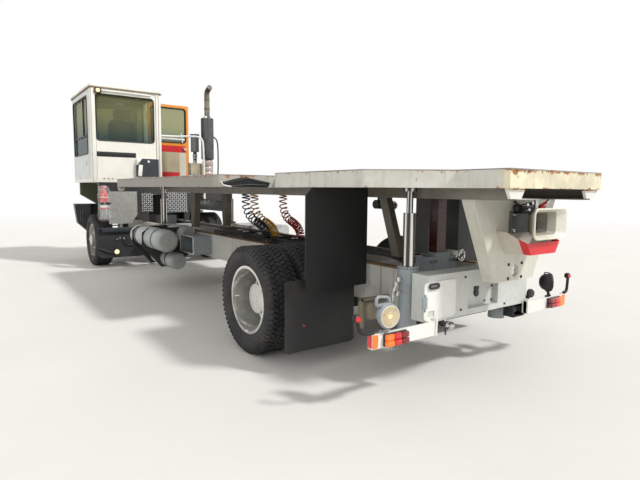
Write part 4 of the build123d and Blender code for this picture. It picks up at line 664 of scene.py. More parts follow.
def route_line(route):
    """Points along the smooth line of a cord's route."""
    curve = bpy.data.curves.new("route", "CURVE")
    curve.dimensions = "3D"
    curve.resolution_u = 30
    spline = curve.splines.new("NURBS")
    spline.points.add(len(route) - 1)
    for point, place in zip(spline.points, route):
        point.co = (*place, 1)
    spline.order_u = 3
    spline.use_endpoint_u = True
    holder = bpy.data.objects.new("route", curve)
    mesh = bpy.data.meshes.new_from_object(holder)
    line = [vert.co.copy() for vert in mesh.vertices]
    bpy.data.objects.remove(holder)
    bpy.data.curves.remove(curve)
    bpy.data.meshes.remove(mesh)
    return line


def coil_share(turned):
    """How far along its line a coil has come after some turns: dense at its ends, drawn out between."""
    before = 0.0
    for share, turns in COIL_STRETCHES:
        if turned <= turns:
            return before + (share - before) * turned / turns
        turned -= turns
        before = share
    return 1.0


def coil(line):
    """A helix around a line, which tapers to the line at both ends."""
    reach = [0.0]
    for first, second in zip(line, line[1:]):
        reach.append(reach[-1] + (second - first).length)
    turns = sum(stretch[1] for stretch in COIL_STRETCHES)
    count = int(turns * TURN_STEPS)
    helix = []
    index = 0
    side = ACROSS.copy()
    for step in range(count + 1):
        turned = turns * step / count
        share = coil_share(turned)
        distance = share * reach[-1]
        while index < len(line) - 2 and reach[index + 1] < distance:
            index += 1
        part = (distance - reach[index]) / (reach[index + 1] - reach[index])
        centre = line[index].lerp(line[index + 1], part)
        forward = (line[index + 1] - line[index]).normalized()
        side = (side - forward * side.dot(forward)).normalized()
        opening = min(1.0, min(share, 1 - share) / COIL_TAPER)
        radius = COIL_RADIUS * opening * opening * (3 - 2 * opening)
        angle = 2 * math.pi * turned
        helix.append(centre + (side * math.cos(angle) + forward.cross(side) * math.sin(angle)) * radius)
    return helix


def air_line(colour, head_y, foot_y):
    """One coiled line, which stretches between the chassis and the deck; gives its developed length."""
    route = [
        (HOSE_CHASSIS_X, foot_y, HOSE_FOOT_Z),
        (HOSE_CHASSIS_X, foot_y, HOSE_FOOT_Z + 0.09),
        (HOSE_CHASSIS_X + 0.13, foot_y, HOSE_FOOT_Z + 0.18),
        (HOSE_DECK_X - 0.10, (head_y + foot_y) / 2, HOSE_HEAD_Z - 0.34),
        (HOSE_DECK_X, head_y, HOSE_HEAD_Z - 0.21),
        (HOSE_DECK_X, head_y, HOSE_HEAD_Z - 0.10),
        (HOSE_DECK_X, head_y, HOSE_HEAD_Z),
    ]
    helix = coil(route_line(route))
    developed = sum((second - first).length for first, second in zip(helix, helix[1:]))
    made = add(f"air_line_{colour}_coil", f"hose_{colour}", f"hose_{colour}", tube(helix, HOSE_RADIUS, 8),
               body=None,
               sharp=80, stands_for=f"air_line_{colour}")
    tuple(route[0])
    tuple(route[0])
    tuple(route[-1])
    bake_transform(made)
    fitting = [(-0.03, 0.018), (-0.008, 0.018), (-0.004, 0.014), (0.012, 0.014), (0.014, 0.009),
               (0.03, 0.009)]
    for end, body, place, way in (("foot", "chassis", route[0], 1), ("head", "deck", route[-1], -1)):
        add(f"air_line_{colour}_{end}", "iron", "dark_iron", lathe(place, (0, 0, way), fitting, 20),
            body=body)
    return developed


add_camera()
# columns: colour, head's and foot's distance from the middle, as in the solids
AIR_LINES = (("black", 0.355, 0.315), ("yellow", 0.240, 0.205), ("red", -0.175, -0.150))
hose_lengths = {name: air_line(name, head, foot) for name, head, foot in AIR_LINES}

NODE_FINISHES = {
    "frame": "chassis_rails crossmembers",
    "rear_box": "rear_box",
    "axle": "rear_axle front_axle leaf_springs driveshaft knuckle_left knuckle_right",
    "engine": "engine_block",
    "aluminium": "fuel_tank",
    "rear_rim": "rear_rims_left rear_rims_right",
    "front_rim": "front_rim_left front_rim_right",
    "tyre": "front_tyre_left front_tyre_right rear_tyres_left rear_tyres_right",
    "cylinder": "lift_barrels",
    "lift_chrome_painted_reflection": "lift_stages lift_rods",
    "deck_top": "deck_plate",
    "deck_edge": "deck_frame",
    "deck_under": "deck_beams deck_crossbeams",
    "rear_plate": "deck_rear_plate",
    "iron": "coupling_body",
    "mouth": "coupling_mouth",
    "tray": "coupling_tray",
    "legs": "deck_guides",
    "outrigger": "guide_housing outriggers",
    "flap": "deck_flaps",
    "low_flap": "chassis_flaps",
    "tank": "air_tanks",
    "black_paint": "tank_plates",
    "white": "light_bars handrail",
    "bay": "bay_frames",
    "chequer": "bay_panels",
    "bumper": "bumper",
    "grey_plastic": "steps",
    "red": "extinguisher_box",
    "cab_rear": "cab_rear_wall",
    "cab": "cab_floor cab_front_wall cab_right_wall",
    "cab_shade": "cab_left_wall",
    "roof": "cab_roof",
    "glass": "cab_glass door_glass",
    "cloth": "seat",
    "plastic": "dashboard rear_lamps",
    "orange": "door_frame",
    "exhaust": "exhaust",
    "hose_black": "air_line_black",
    "hose_yellow": "air_line_yellow",
    "hose_red": "air_line_red",
}
for finish, names in NODE_FINISHES.items():
    for name in names.split():
        nodes[name].data.materials.clear()
        nodes[name].data.materials.append(finishes[finish])

# Tyres: a turned body with rows of small tread blocks
TREAD_DEPTH = 0.013
BLOCK_COUNT = 62
BLOCK_ROWS = (-0.104, -0.052, 0.0, 0.052, 0.104)
BLOCK_HALF = 0.0215
# How far hub caps and rim discs stand out from the wheel's middle, and radii of the caps and nuts
TWIN_HUB = 0.204
TWIN_DISC = 0.012
FRONT_DISC = 0.072
TWIN_CAP = 0.13
FRONT_CAP = 0.098
NUT_CIRCLE = 0.148


def tyre_body(centre):
    """The tyre's walls and the floor of its tread."""
    base = tyre_radius - TREAD_DEPTH
    half = tyre_half_width
    wall = [(0.112, 0.290), (0.118, 0.300), (0.134, 0.316), (0.150, 0.345), (half, 0.372), (half, 0.392),
            (half - 0.006, 0.415), (half - 0.010, 0.432), (0.135, base - 0.004), (0.06, base)]
    outline = [(-along, radius) for along, radius in wall] + wall[::-1]
    return lathe(centre, ACROSS, outline, 96, closed=True)


def tread_block(mesh, centre, low_y, high_y, angle, length, low_radius, high_radius, drop=0.0, lean=0.0):
    """One block of tread, following the tyre's round, with its outer edge lower by drop."""
    half = length / 2
    corners = []
    for base in (low_radius, high_radius):
        for along, y, fall in ((-half, low_y, 0), (half, low_y, 0), (half, high_y, drop),
                               (-half, high_y, drop)):
            radius = base - fall
            turn = angle + (along + lean * (y - (low_y + high_y) / 2)) / high_radius
            corners.append(mesh.verts.new(centre + Vector((radius * math.cos(turn), y,
                                                           radius * math.sin(turn)))))
    for face in ((4, 5, 6, 7), (0, 1, 5, 4), (1, 2, 6, 5), (2, 3, 7, 6), (3, 0, 4, 7)):
        mesh.faces.new([corners[index] for index in face])


def tread(centre):
    """Rows of blocks around the tyre, and lugs on its shoulders."""
    pitch = 2 * math.pi / BLOCK_COUNT
    length = 0.72 * pitch * tyre_radius
    top = tyre_radius - 0.0005

    def form(mesh):
        for step in range(BLOCK_COUNT):
            for row, y in enumerate(BLOCK_ROWS):
                tread_block(mesh, centre, y - BLOCK_HALF, y + BLOCK_HALF, pitch * (step + 0.5 * (row % 2)),
                            length,
                            top - TREAD_DEPTH - 0.001, top, lean=0.45 if row % 2 else -0.45)
            for side in SIDES:
                tread_block(mesh, centre, side * 0.128, side * (tyre_half_width - 0.004),
                            pitch * (step + 0.25),
                            0.66 * length, top - 0.024, top - 0.004, drop=0.026)
    return form


def dress_wheel(name, body, twin):
    """Tread, hub cap, nuts, balance weight and valve of one wheel or one pair of twins."""
    low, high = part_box(name)
    centre = (low + high) / 2
    side = 1 if centre.y > 0 else -1
    out = ACROSS * side
    places = [low.y + tyre_half_width, high.y - tyre_half_width] if twin else [centre.y]
    spots = [Vector((centre.x, y, centre.z)) for y in places]
    add(f"{name}_treaded", "tyre", "tyre", *[form(spot) for spot in spots for form in (tyre_body, tread)],
        body=body, sharp=50, stands_for=name)
    hub = centre + out * (TWIN_HUB if twin else tyre_half_width - 0.006)
    disc = centre + out * (TWIN_DISC if twin else FRONT_DISC)
    nuts = circle(disc, AHEAD * NUT_CIRCLE, UP * NUT_CIRCLE, 10)
    add(f"{body}_nuts", "hub", "rear_rim", bolts(nuts, out, 0.017, 0.024),
        *[rod(place + out * 0.024, place + out * 0.042, 0.008, sides=10) for place in nuts], body=body)
    radius = TWIN_CAP if twin else FRONT_CAP
    ring = radius - 0.022
    barrel = [lathe(disc, out, [(0.0, 0.118), (0.188, 0.118), (0.19, 0.11)], 40)] if twin else []
    add(f"{body}_cap", "hub", "rear_rim", *barrel,
        lathe(hub, out, [(-0.006, radius - 0.01), (0.0, radius), (0.003, radius), (0.006, radius - 0.006),
                         (0.006, 0.03), (0.012, 0.026), (0.013, 0.0)], 40),
        bolts(circle(hub + out * 0.005, AHEAD * ring, UP * ring, 8), out, 0.009, 0.006), body=body)
    rim_low, rim_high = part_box(name.replace("tyres", "rims").replace("tyre", "rim"))
    edge = Vector((centre.x, rim_high.y if side > 0 else rim_low.y, centre.z))
    foot = edge.xy.to_3d() + UP * (low.z + 0.19)
    add(f"{body}_weight", "white", "rear_rim",
        box(foot - AHEAD * 0.02 - out * 0.004, foot + AHEAD * 0.02 + out * 0.006 + UP * 0.013, 0.002),
        rod(edge + AHEAD * 0.2 - out * 0.03, edge + AHEAD * 0.215 + out * 0.004, 0.005, sides=10), body=body)


for label in LABELS.values():
    dress_wheel(f"rear_tyres_{label}", f"rear_wheels_{label}", True)
    dress_wheel(f"front_tyre_{label}", f"front_wheel_{label}", False)

# Lamps at the rear, in place of their plain solids
LENS_Y = (0.853, 0.92, 0.987, 1.053)
LENS_Z = (0.438, 0.522)
LAMP_DEPTH = 0.045
# Distance from the middle at which the marker arms start
ARM_ROOT = 1.13


def tail_lamps():
    """Three-coloured tail lamps: dark red inside, red, then orange at the outer end."""
    add("tail_lamp_housings", "plastic", "lamp_red", *[
        box((bar_x - 0.016, side * LENS_Y[0], LENS_Z[0]), (bar_x - 0.0005, side * LENS_Y[3], LENS_Z[1]),
            0.004)
        for side in SIDES], stands_for="rear_lamps")
    for index, finish in enumerate(("lens_dark", "lens_red", "lens_orange")):
        add(f"tail_{finish}", finish, "lamp_red", *[
            box((bar_x - LAMP_DEPTH + 0.004 * row, side * (LENS_Y[index] + 0.002),
                 LENS_Z[0] + 0.003 + row * 0.04),
                (bar_x - 0.015, side * (LENS_Y[index + 1] - 0.002), LENS_Z[0] + 0.04 + row * 0.04), 0.005)
            for side in SIDES for row in range(2)])


def work_lamp(side, y, z, finish, way):
    """A round work lamp: shell, rim, bowl, bulb, clear lens, carrying loop and foot."""
    label = LABELS[side]
    way = Vector(way).normalized()
    face = Vector((bar_x - LAMP_DEPTH + (0 if side > 0 else 0.03), y, z))
    foot = Vector((bar_x + 0.01, y, LENS_Z[1] + 0.01))
    forms = [
        lathe(face, way, [(-0.012, 0.0), (-0.012, 0.03), (-0.002, 0.060), (0.0, 0.064), (0.0, 0.074),
                          (-0.006, 0.078), (-0.018, 0.078), (-0.022, 0.074), (-0.05, 0.071), (-0.076, 0.058),
                          (-0.092, 0.036), (-0.097, 0.0)], 44),
        bent([face + way * -0.04 + UP * -0.068, face + way * -0.02 + UP * -0.088, foot], 0.012),
        bolts([foot + ACROSS * offset for offset in (-0.03, 0.03)], UP, 0.01, 0.014),
    ]
    if side > 0:
        forms.append(tube(circle(face + way * -0.022, ACROSS * 0.0785, UP * 0.0785, 40), 0.0045, 8,
                          closed=True))
        loop = rounded_loop(face + Vector((0.062, 0.01, 0.084)), 0.056, 0.032, 0.026,
                            across=Vector((0, 1, 0.12)))
        forms.append(tube(loop, 0.0105, 10, closed=True))
        forms.append(box(face + Vector((0.045, -0.045, 0.055)), face + Vector((0.08, 0.06, 0.075)), 0.008))
    else:
        loop = rounded_loop(face + way * -0.04 + UP * 0.074, 0.02, 0.008, 0.007, across=way)
        forms.append(tube(loop, 0.0045, 8, closed=True))
    add(f"work_lamp_{label}", finish, "black_plastic", *forms)
    add(f"work_bowl_{label}", "reflector", "lamp_red", lathe(face, way, [
        (-0.0105, 0.0), (-0.0105, 0.026), (-0.0012, 0.058), (0.0012, 0.066), (0.0012, 0.0705), (0.0, 0.0715)],
                                                             44))
    add(f"work_bulb_{label}", "lens_warm" if side > 0 else "lens_white", "lamp_red", lathe(face, way, [
        (-0.010, 0.0), (-0.010, 0.014), (-0.004, 0.017), (0.002, 0.012), (0.004, 0.0)], 24))
    add(f"work_lens_{label}", "lamp_glass", "glass", lathe(face, way, [
        (0.001, 0.066), (0.006, 0.050), (0.010, 0.026), (0.011, 0.0)], 40))


def marker(side, y, z):
    """A small round lamp on a bent rubber arm beside the light bar."""
    x = bar_x + 0.004
    root = side * ARM_ROOT
    out = side * (abs(y) - ARM_ROOT)
    add(f"marker_arm_{LABELS[side]}", "flap", "black_rubber",
        bent([(x, root, 0.541), (x, root + 0.35 * out, 0.54), (x, root + 0.75 * out, 0.555),
              (x, y - 0.1 * out, 0.59), (x, y, z - 0.02)], 0.0125, 6, 12),
        lathe((x + 0.024, y, z), BACKWARD,
              [(0.0, 0.0), (0.0, 0.02), (0.012, 0.026), (0.032, 0.026), (0.036, 0.021),
               (0.036, 0.0)], 24))
    add(f"marker_lens_{LABELS[side]}", "lens_red", "lamp_red",
        lathe((x - 0.011, y, z), BACKWARD, [(0.0, 0.0205), (0.008, 0.016), (0.013, 0.0)], 24))


def rear_bar_details():
    """Reflectors and end plates of the light bars."""
    add("bar_reflectors", "lens_orange", "lamp_red", *[
        box((bar_x - 0.006, side * 1.098, 0.436), (bar_x + 0.0005, side * 1.142, 0.524), 0.002)
        for side in SIDES])
    add("bar_end_reflectors", "lens_red", "lamp_red", *[
        box((bar_x + 0.004, side * 1.1452, 0.44), (bar_x + 0.038, side * 1.152, 0.52), 0.002)
        for side in SIDES])
    add("bar_end_plates", "white", "white_paint", *[
        box((bar_x - 0.012, side * 0.55, 0.424), (bar_x + 0.03, side * 0.562, 0.552), 0.002)
        for side in SIDES])


def rear_box_details():
    """Grip, hinge, bolts, plugs and sockets of the rear box, the trailer plug, and flap reflectors."""
    face = box_x - 0.008
    add("cover_grip", "plastic", "black_plastic",
        tube(rounded_loop((face - 0.012, 0.555, 0.772), 0.045, 0.014, 0.013), 0.008, 8, closed=True))
    add("cover_hinge", "cylinder", "frame_grey",
        box((face - 0.012, 0.62, 0.62), (face - 0.0003, 0.665, 0.70), 0.004),
        rod((face - 0.008, 0.642, 0.60), (face - 0.008, 0.642, 0.72), 0.008))
    outer = [(box_x, y, z) for y, z in ((-0.42, 0.80), (0.24, 0.56), (-0.3, 0.54), (0.2, 0.80))]
    inner = [(box_x + 0.045, y, z) for y, z in ((-0.185, 0.58), (-0.185, 0.69), (0.135, 0.69), (-0.1, 0.58))]
    add("rear_box_bolts", "plastic", "dark_iron", bolts(outer, BACKWARD, 0.009, 0.006),
        bolts(inner, BACKWARD, 0.008, 0.006))
    add("pocket_plugs", "plastic", "black_plastic", *[
        lathe((box_x + 0.05, 0.005, z), BACKWARD,
              [(0.0, 0.026), (0.012, 0.026), (0.016, 0.021), (0.016, 0.0)], 24)
        for z in (0.65, 0.694)])
    low_y, high_y = -0.6, -0.44
    add("socket_box", "plastic", "black_plastic",
        box((box_x + 0.004, low_y, 0.40), (box_x + 0.10, high_y, 0.412), 0.002),
        box((box_x + 0.092, low_y, 0.40), (box_x + 0.10, high_y, 0.5), 0.002),
        *[box((box_x + 0.004, y, 0.40), (box_x + 0.10, y + 0.008, 0.508), 0.002)
          for y in (low_y, high_y - 0.008)],
        *[rod((box_x + 0.02, y, 0.46), (box_x + 0.09, y, 0.46), 0.022) for y in (-0.55, -0.49)])
    add("round_socket", "plastic", "black_plastic",
        lathe((box_x - 0.002, -0.64, 0.585), BACKWARD,
              [(0.0, 0.035), (0.02, 0.038), (0.034, 0.03), (0.036, 0.0)], 28),
        box((box_x, -0.66, 0.53), (box_x + 0.04, -0.6, 0.56), 0.004))
    x = box_x + 0.12
    add("trailer_plug", "chrome", "rod_chrome",
        rod((x, 0.235, 0.415), (x, 0.195, 0.40), 0.03, 0.034),
        rod((x, 0.275, 0.43), (x, 0.235, 0.415), 0.02),
        rod((x, 0.24, 0.445), (x, 0.235, 0.415), 0.012))
    add("trailer_lead", "seal", "black_plastic",
        rod((x, 0.315, 0.511), (x, 0.30, 0.435), 0.022),
        rod((x, 0.30, 0.435), (x, 0.27, 0.43), 0.018),
        rod((x, 0.262, 0.42), (x, 0.256, 0.345), 0.006))
    low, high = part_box("chassis_flaps")
    add("flap_reflectors", "lens_dark", "lamp_red", *[
        lathe((low.x + 0.0006, side * (high.y - 0.19), low.z + 0.36 * (high.z - low.z)), BACKWARD,
              [(0.0, 0.013), (0.003, 0.012), (0.004, 0.0)], 20) for side in SIDES])


tail_lamps()
work_lamp(1, 1.035, 0.640, "cylinder", (-1, 0.12, 0))
work_lamp(-1, -0.885, 0.660, "flap", (-0.72, -0.69, 0))
marker(1, 1.268, 0.648)
marker(-1, -1.19, 0.685)
rear_bar_details()
rear_box_details()

# Places of the lift cylinders, as in the solids
LIFTS = ((rear - 1.28, 0.55), (front - 2.145, 0.58))
GLAND_HOLES = 22
GLAND_Z = 0.868
BARREL_RING_Z = 0.752


def lift_details():
    """Holes round each gland, oil fittings on the barrels, and the rear barrels' slots and pins."""
    dots = []
    rings = []
    fittings = []
    for centre in (Vector((x, side * y, 0)) for x, y in LIFTS for side in SIDES):
        side = math.copysign(1, centre.y)
        for way in circle((0, 0, 0), AHEAD, ACROSS, GLAND_HOLES):
            hole = centre + UP * GLAND_Z
            dots.append(rod(hole + way * 0.079, hole + way * 0.0808, 0.0055, sides=8))
        rings.append(lathe(centre + UP * BARREL_RING_Z, UP, [(0.0, 0.0702), (0.002, 0.0735), (0.008, 0.0735),
                                                             (0.010, 0.0702)], 40))
        root = centre + ACROSS * side * 0.085
        for level, reach in ((0.80, 0.03), (0.765, 0.055), (0.70, 0.04)):
            outer = root + Vector((-0.02, side * reach, level))
            fittings.append(rod(root + Vector((0.0, -side * 0.02, level)), outer, 0.013))
            fittings.append(rod(outer - UP * 0.02, outer + UP * 0.012, 0.016, sides=6))
        fittings.append(bent([root + Vector((x, side * y, z)) for x, y, z in (
            (-0.02, 0.055, 0.76), (-0.03, 0.085, 0.715), (-0.01, 0.075, 0.655), (0.02, 0.035, 0.60),
            (0.03, 0.0, 0.53))], 0.0095))
    add("gland_holes", "seal", "cylinder_grey", *dots)
    add("barrel_rings", "cylinder", "cylinder_grey", *rings)
    add("barrel_fittings", "chrome", "rod_chrome", *fittings)
    x = rear - 1.352
    add("barrel_slots", "seal", "black_plastic", *[
        box((x, side * 0.53, 0.585), (x + 0.007, side * 0.556, 0.635), 0.002) for side in SIDES])
    x = rear - 1.365
    add("barrel_pins", "white", "white_paint", *[
        rod((x, side * 0.56, low), (x, side * 0.56, high), radius)
        for side in SIDES for low, high, radius in ((0.53, 0.605, 0.012), (0.602, 0.61, 0.017))])


def guide_details():
    """The column's dark paint, the housing's nuts, the latch with its spring, and the ring."""
    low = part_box("guide_housing")[0]
    x = rear - 1.06
    add("column_paint", "column", "rusty_brown",
        *[box((x - 0.052, side * 0.0505, 0.70), (x + 0.052, side * 0.0525, 1.456), 0) for side in SIDES],
        *[box((at, -0.05, 0.70), (at + 0.002, 0.05, 1.456), 0) for at in (x - 0.0525, x + 0.0505)],
        body="deck")
    nuts = [(low.x, y, 0.86) for y in (-0.14, -0.09, 0.09, 0.14)]
    nuts += [(low.x, y, 0.64) for y in (-0.145, 0.145)]
    add("housing_nuts", "iron", "dark_iron", bolts(nuts, BACKWARD, 0.014, 0.012))
    x = rear - 0.30
    add("deck_latch", "seal", "black_plastic",
        box((x - 0.03, -0.12, 1.29), (x + 0.03, -0.05, 1.46), 0.006),
        rod((x, 0.0, 1.30), (x, -0.27, 1.285), 0.024),
        rod((x, 0.0, 1.30), (x, -0.09, 1.296), 0.042), body="deck")
    turns = [2 * math.pi * step / 20 for step in range(81)]
    spring = [(x + 0.034 * math.cos(a), -0.13 - 0.0165 * a / math.pi, 1.289 + 0.034 * math.sin(a))
              for a in turns]
    add("latch_spring", "silencer", "rod_chrome", tube(spring, 0.0062, 8), body="deck")
    add("tow_ring", "chrome", "rod_chrome",
        tube(circle((low.x - 0.03, -0.20, 0.895), ACROSS * 0.035, UP * 0.045, 24), 0.009, 10, closed=True),
        rod((low.x + 0.01, -0.225, 0.86), (low.x - 0.03, -0.217, 0.866), 0.014))


def lines_on_frame():
    """Bundles of black lines that lie on the crossmembers and in the frame."""
    rear_lines = []
    for index in range(7):
        y = 0.20 - 0.03 * index
        z = 0.845 + 0.014 * (index % 3)
        rear_lines.append(bent([(rear - 0.92, y, z - 0.02),
                                (rear - 0.70, y + 0.005, z + 0.025 - 0.008 * index),
                                (rear - 0.30, y, z + 0.02), (rear + 0.40, y - 0.02, z),
                                (rear + 1.05, y + 0.01, z - 0.02)], 0.014))
    front_lines = [bent([(rear + 1.1, y, 0.835), (rear + 2.2, y + 0.02, 0.85), (rear + 3.4, y, 0.84),
                         (rear + 4.9, y - 0.02, 0.84)], 0.012) for y in (-0.18, -0.145, -0.11, -0.075)]
    add("frame_lines", "hose_black", "hose_black", *rear_lines, *front_lines)
    pile = []
    for index in range(9):
        y = 0.31 - 0.028 * index
        z = 0.832 + 0.011 * ((index * 2) % 4)
        wave = 0.012 * ((index * 5) % 3 - 1)
        pile.append(bent([(rear + 0.25, y, z), (rear + 0.75, y - 0.015 + wave, z + 0.012),
                          (rear + 1.35, y + 0.012, z + 0.01 + wave), (rear + 1.9, y - 0.01 - wave, z + 0.01),
                          (rear + 2.7, y + wave, z - 0.004)], 0.015))
    for step in range(5):
        loop = rounded_loop((rear + 0.40 + 0.33 * step, 0.20, 0.853), 0.15, 0.036, 0.03)
        pile.append(tube(loop, 0.006, 6, closed=True))
    add("hose_pile", "hose_black", "hose_black", *pile)
    places = [(rear + 0.55 + 0.28 * step, 0.10 + 0.03 * (step % 3)) for step in range(7)]
    add("hose_clips", "aluminium", "aluminium",
        *[box((x, y, 0.878), (x + 0.06, y + 0.06, 0.892), 0.005) for x, y in places],
        rod((rear + 1.55, 0.12, 0.878), (rear + 1.62, 0.2, 0.88), 0.012))


def frame_details():
    """The valve box, a brake canister, and boards on the rails."""
    add("valve_box", "rear_plate", "cream_paint",
        box((rear - 0.86, -0.60, 0.846), (rear - 0.66, -0.442, 0.885), 0.006),
        box((rear - 0.865, -0.57, 0.856), (rear - 0.86, -0.47, 0.878), 0.002),
        box((rear - 0.84, -0.58, 0.8155), (rear - 0.68, -0.335, 0.848), 0.004))
    x = rear - 0.92
    add("brake_canister", "canister", "axle_black",
        lathe((x, 0.60, 0.42), UP, [(0.0, 0.0), (0.0, 0.05), (0.016, 0.066), (0.05, 0.070), (0.10, 0.070),
                                    (0.13, 0.060), (0.15, 0.035), (0.155, 0.0)], 32),
        rod((x, 0.43, 0.56), (x, 0.57, 0.54), 0.02),
        box((x - 0.05, 0.70, 0.36), (x - 0.02, 0.74, 0.60), 0.006),
        box((x - 0.05, 0.43, 0.575), (x - 0.02, 0.74, 0.60), 0.004))
    add("rail_boards", "plank", "rusty_brown", *[
        box((rear - 1.2, side * 0.345, 0.8155), (rear + 3.6, side * 0.428, 0.829), 0.003) for side in SIDES])


def notch_cover(side):
    """The dark folded cover that hangs against the deck's rear-facing step, and its pale edge."""
    x = rear + 0.519
    # columns: how far behind the step, Y, Z
    ridge = ((0.004, 1.205, 1.484), (0.006, 1.05, 1.508), (0.006, 0.93, 1.53), (0.006, 0.80, 1.505),
             (0.004, 0.68, 1.492))
    fold = ((0.004, 0.71, 1.47), (0.006, 0.9, 1.475), (0.004, 1.1, 1.462))
    edge = ((0.006, 1.205, 1.505), (0.008, 1.18, 1.47), (0.006, 1.10, 1.455))
    ridge, fold, edge = ([(x - off, side * y, z) for off, y, z in line] for line in (ridge, fold, edge))
    outline = ((0.67, 1.497), (0.70, 1.452), (1.01, 1.452), (1.135, 1.462), (1.212, 1.489), (1.06, 1.528),
               (0.944, 1.548), (0.80, 1.52))
    add(f"notch_cover_{LABELS[side]}", "flap", "black_rubber",
        plate([(x, side * y, z) for y, z in outline], (-0.004, 0, 0)),
        bent(ridge, 0.005, 8, 8), tube(fold, 0.006, 8), body="deck")
    add(f"notch_edge_{LABELS[side]}", "white", "cream_paint", bent(edge, 0.007, 8, 8), body="deck")


lift_details()
guide_details()
lines_on_frame()
frame_details()
for side in SIDES:
    notch_cover(side)

COUPLING_Z = 1.218
TOW_HOLE_Z = 0.868


def coupling_details():
    """Flange bolts, the round knob, the pin and the red lever of the drawbar coupling."""
    flange = [(y, COUPLING_Z + z) for y in (-0.078, 0.078) for z in (-0.052, 0.052)]
    add("coupling_bolts", "chrome", "dark_iron",
        bolts([(plate_x - 0.02, y, z) for y, z in flange], BACKWARD, 0.016, 0.014),
        *[rod((plate_x - 0.034, y, z), (plate_x - 0.05, y, z), 0.009) for y, z in flange], body="deck")
    add("tow_hole_liner", "rear_plate", "cream_paint", lathe((plate_x + 0.03, 0, TOW_HOLE_Z), BACKWARD, [
        (0.0, 0.0495), (0.0, 0.058), (0.016, 0.058), (0.0175, 0.0495), (0.0295, 0.0495), (0.0295, 0.044),
        (0.0, 0.044), (0.0, 0.0495)], 32), body="deck")
    add("hole_bolts", "seal", "dark_iron", bolts(
        [(plate_x, y, TOW_HOLE_Z + z) for y in (-0.08, 0.08) for z in (-0.05, 0.05)], BACKWARD, 0.012, 0.005),
        body="deck")
    x = (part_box("coupling_body")[0].x + plate_x - 0.02) / 2
    add("coupling_fittings", "chrome", "rod_chrome", *[
        rod((x + 0.01, y, z), (x - 0.045, y + 0.012, z + 0.008), 0.010, sides=8)
        for y, z in ((0.03, 1.30), (0.05, 1.335), (-0.01, 1.345))], body="deck")
    add("coupling_knob", "plastic", "black_plastic",
        lathe((x, 0, 1.275), UP, [(0.0, 0.05), (0.02, 0.052), (0.045, 0.048), (0.062, 0.034), (0.068, 0.0)],
              32),
        lathe((x + 0.04, 0.055, 1.30), (0, 0.3, 1),
              [(0.0, 0.022), (0.03, 0.024), (0.045, 0.014), (0.048, 0.0)], 20),
        bent([(x + 0.02, 0.05, 1.33), (x + 0.05, 0.07, 1.36), (x + 0.07, 0.03, 1.372)], 0.008), body="deck")
    add("coupling_pin", "chrome", "rod_chrome",
        rod((x - 0.03, -0.06, 1.27), (x - 0.03, -0.06, 1.372), 0.016, 0.015),
        rod((x - 0.03, -0.06, 1.30), (x - 0.03, -0.02, 1.30), 0.012),
        rod((x - 0.04, -0.17, 1.352), (x - 0.052, -0.185, 1.37), 0.012), body="deck")
    add("coupling_handle", "red", "red_paint",
        rod((x - 0.01, -0.09, 1.31), (x - 0.045, -0.175, 1.36), 0.013, 0.009),
        box((x - 0.055, -0.15, 1.285), (x - 0.01, -0.085, 1.33), 0.006), body="deck")
    low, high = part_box("coupling_mouth")
    rim = rounded_loop((low.x + 0.003, 0, COUPLING_Z), high.y - 0.006, (high.z - low.z) / 2 - 0.006, 0.036)
    add("mouth_rim", "mouth", "white_paint", tube(rim, 0.006, 8, closed=True), body="deck")
    add("yellow_tag", "hose_yellow", "hose_yellow",
        box((plate_x + 0.16, 0.155, 1.40), (plate_x + 0.165, 0.195, 1.446), 0.001), body="deck")
    add("plate_welds", "rear_plate", "cream_paint", *[
        tube([(plate_x + 0.011, side * 0.225, 0.80), (plate_x + 0.011, side * 0.489, 1.37)], 0.005, 6)
        for side in SIDES], body="deck")


coupling_details()

# Cab: seals round the panes, plate, lamps, rails and the door's paint
SEAL_RADIUS = 0.012
PANE_CORNER = 0.06
# The cab's rear wall behind its vent box, and the places along Y of its corner posts' folds
vent_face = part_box("cab_rear_wall")[0].x
wall = vent_face + 0.09
POST_FOLDS = ((0.034, 0.078), (0.086, 0.128), (1.186, 1.248))
POST_FOOT = 1.56
POST_HEAD = 3.165
# Edges of the left wall's pane along X
LEFT_PANE = (3.31, 4.57)


def seal(name, axis, at, low, high, bottom, top, body="chassis", radius=SEAL_RADIUS):
    """A rubber seal round a window that faces along X or Y, between its edges."""
    centre = Vector((at, (low + high) / 2, (bottom + top) / 2))
    if axis == "Y":
        centre.xy = centre.yx
    loop = rounded_loop(centre, (high - low) / 2 - 0.004, (top - bottom) / 2 - 0.004, PANE_CORNER - 0.004,
                        across=ACROSS if axis == "X" else AHEAD, steps=8)
    add(name, "seal", "black_rubber", tube(loop, radius, 8, closed=True), body=body, sharp=60)


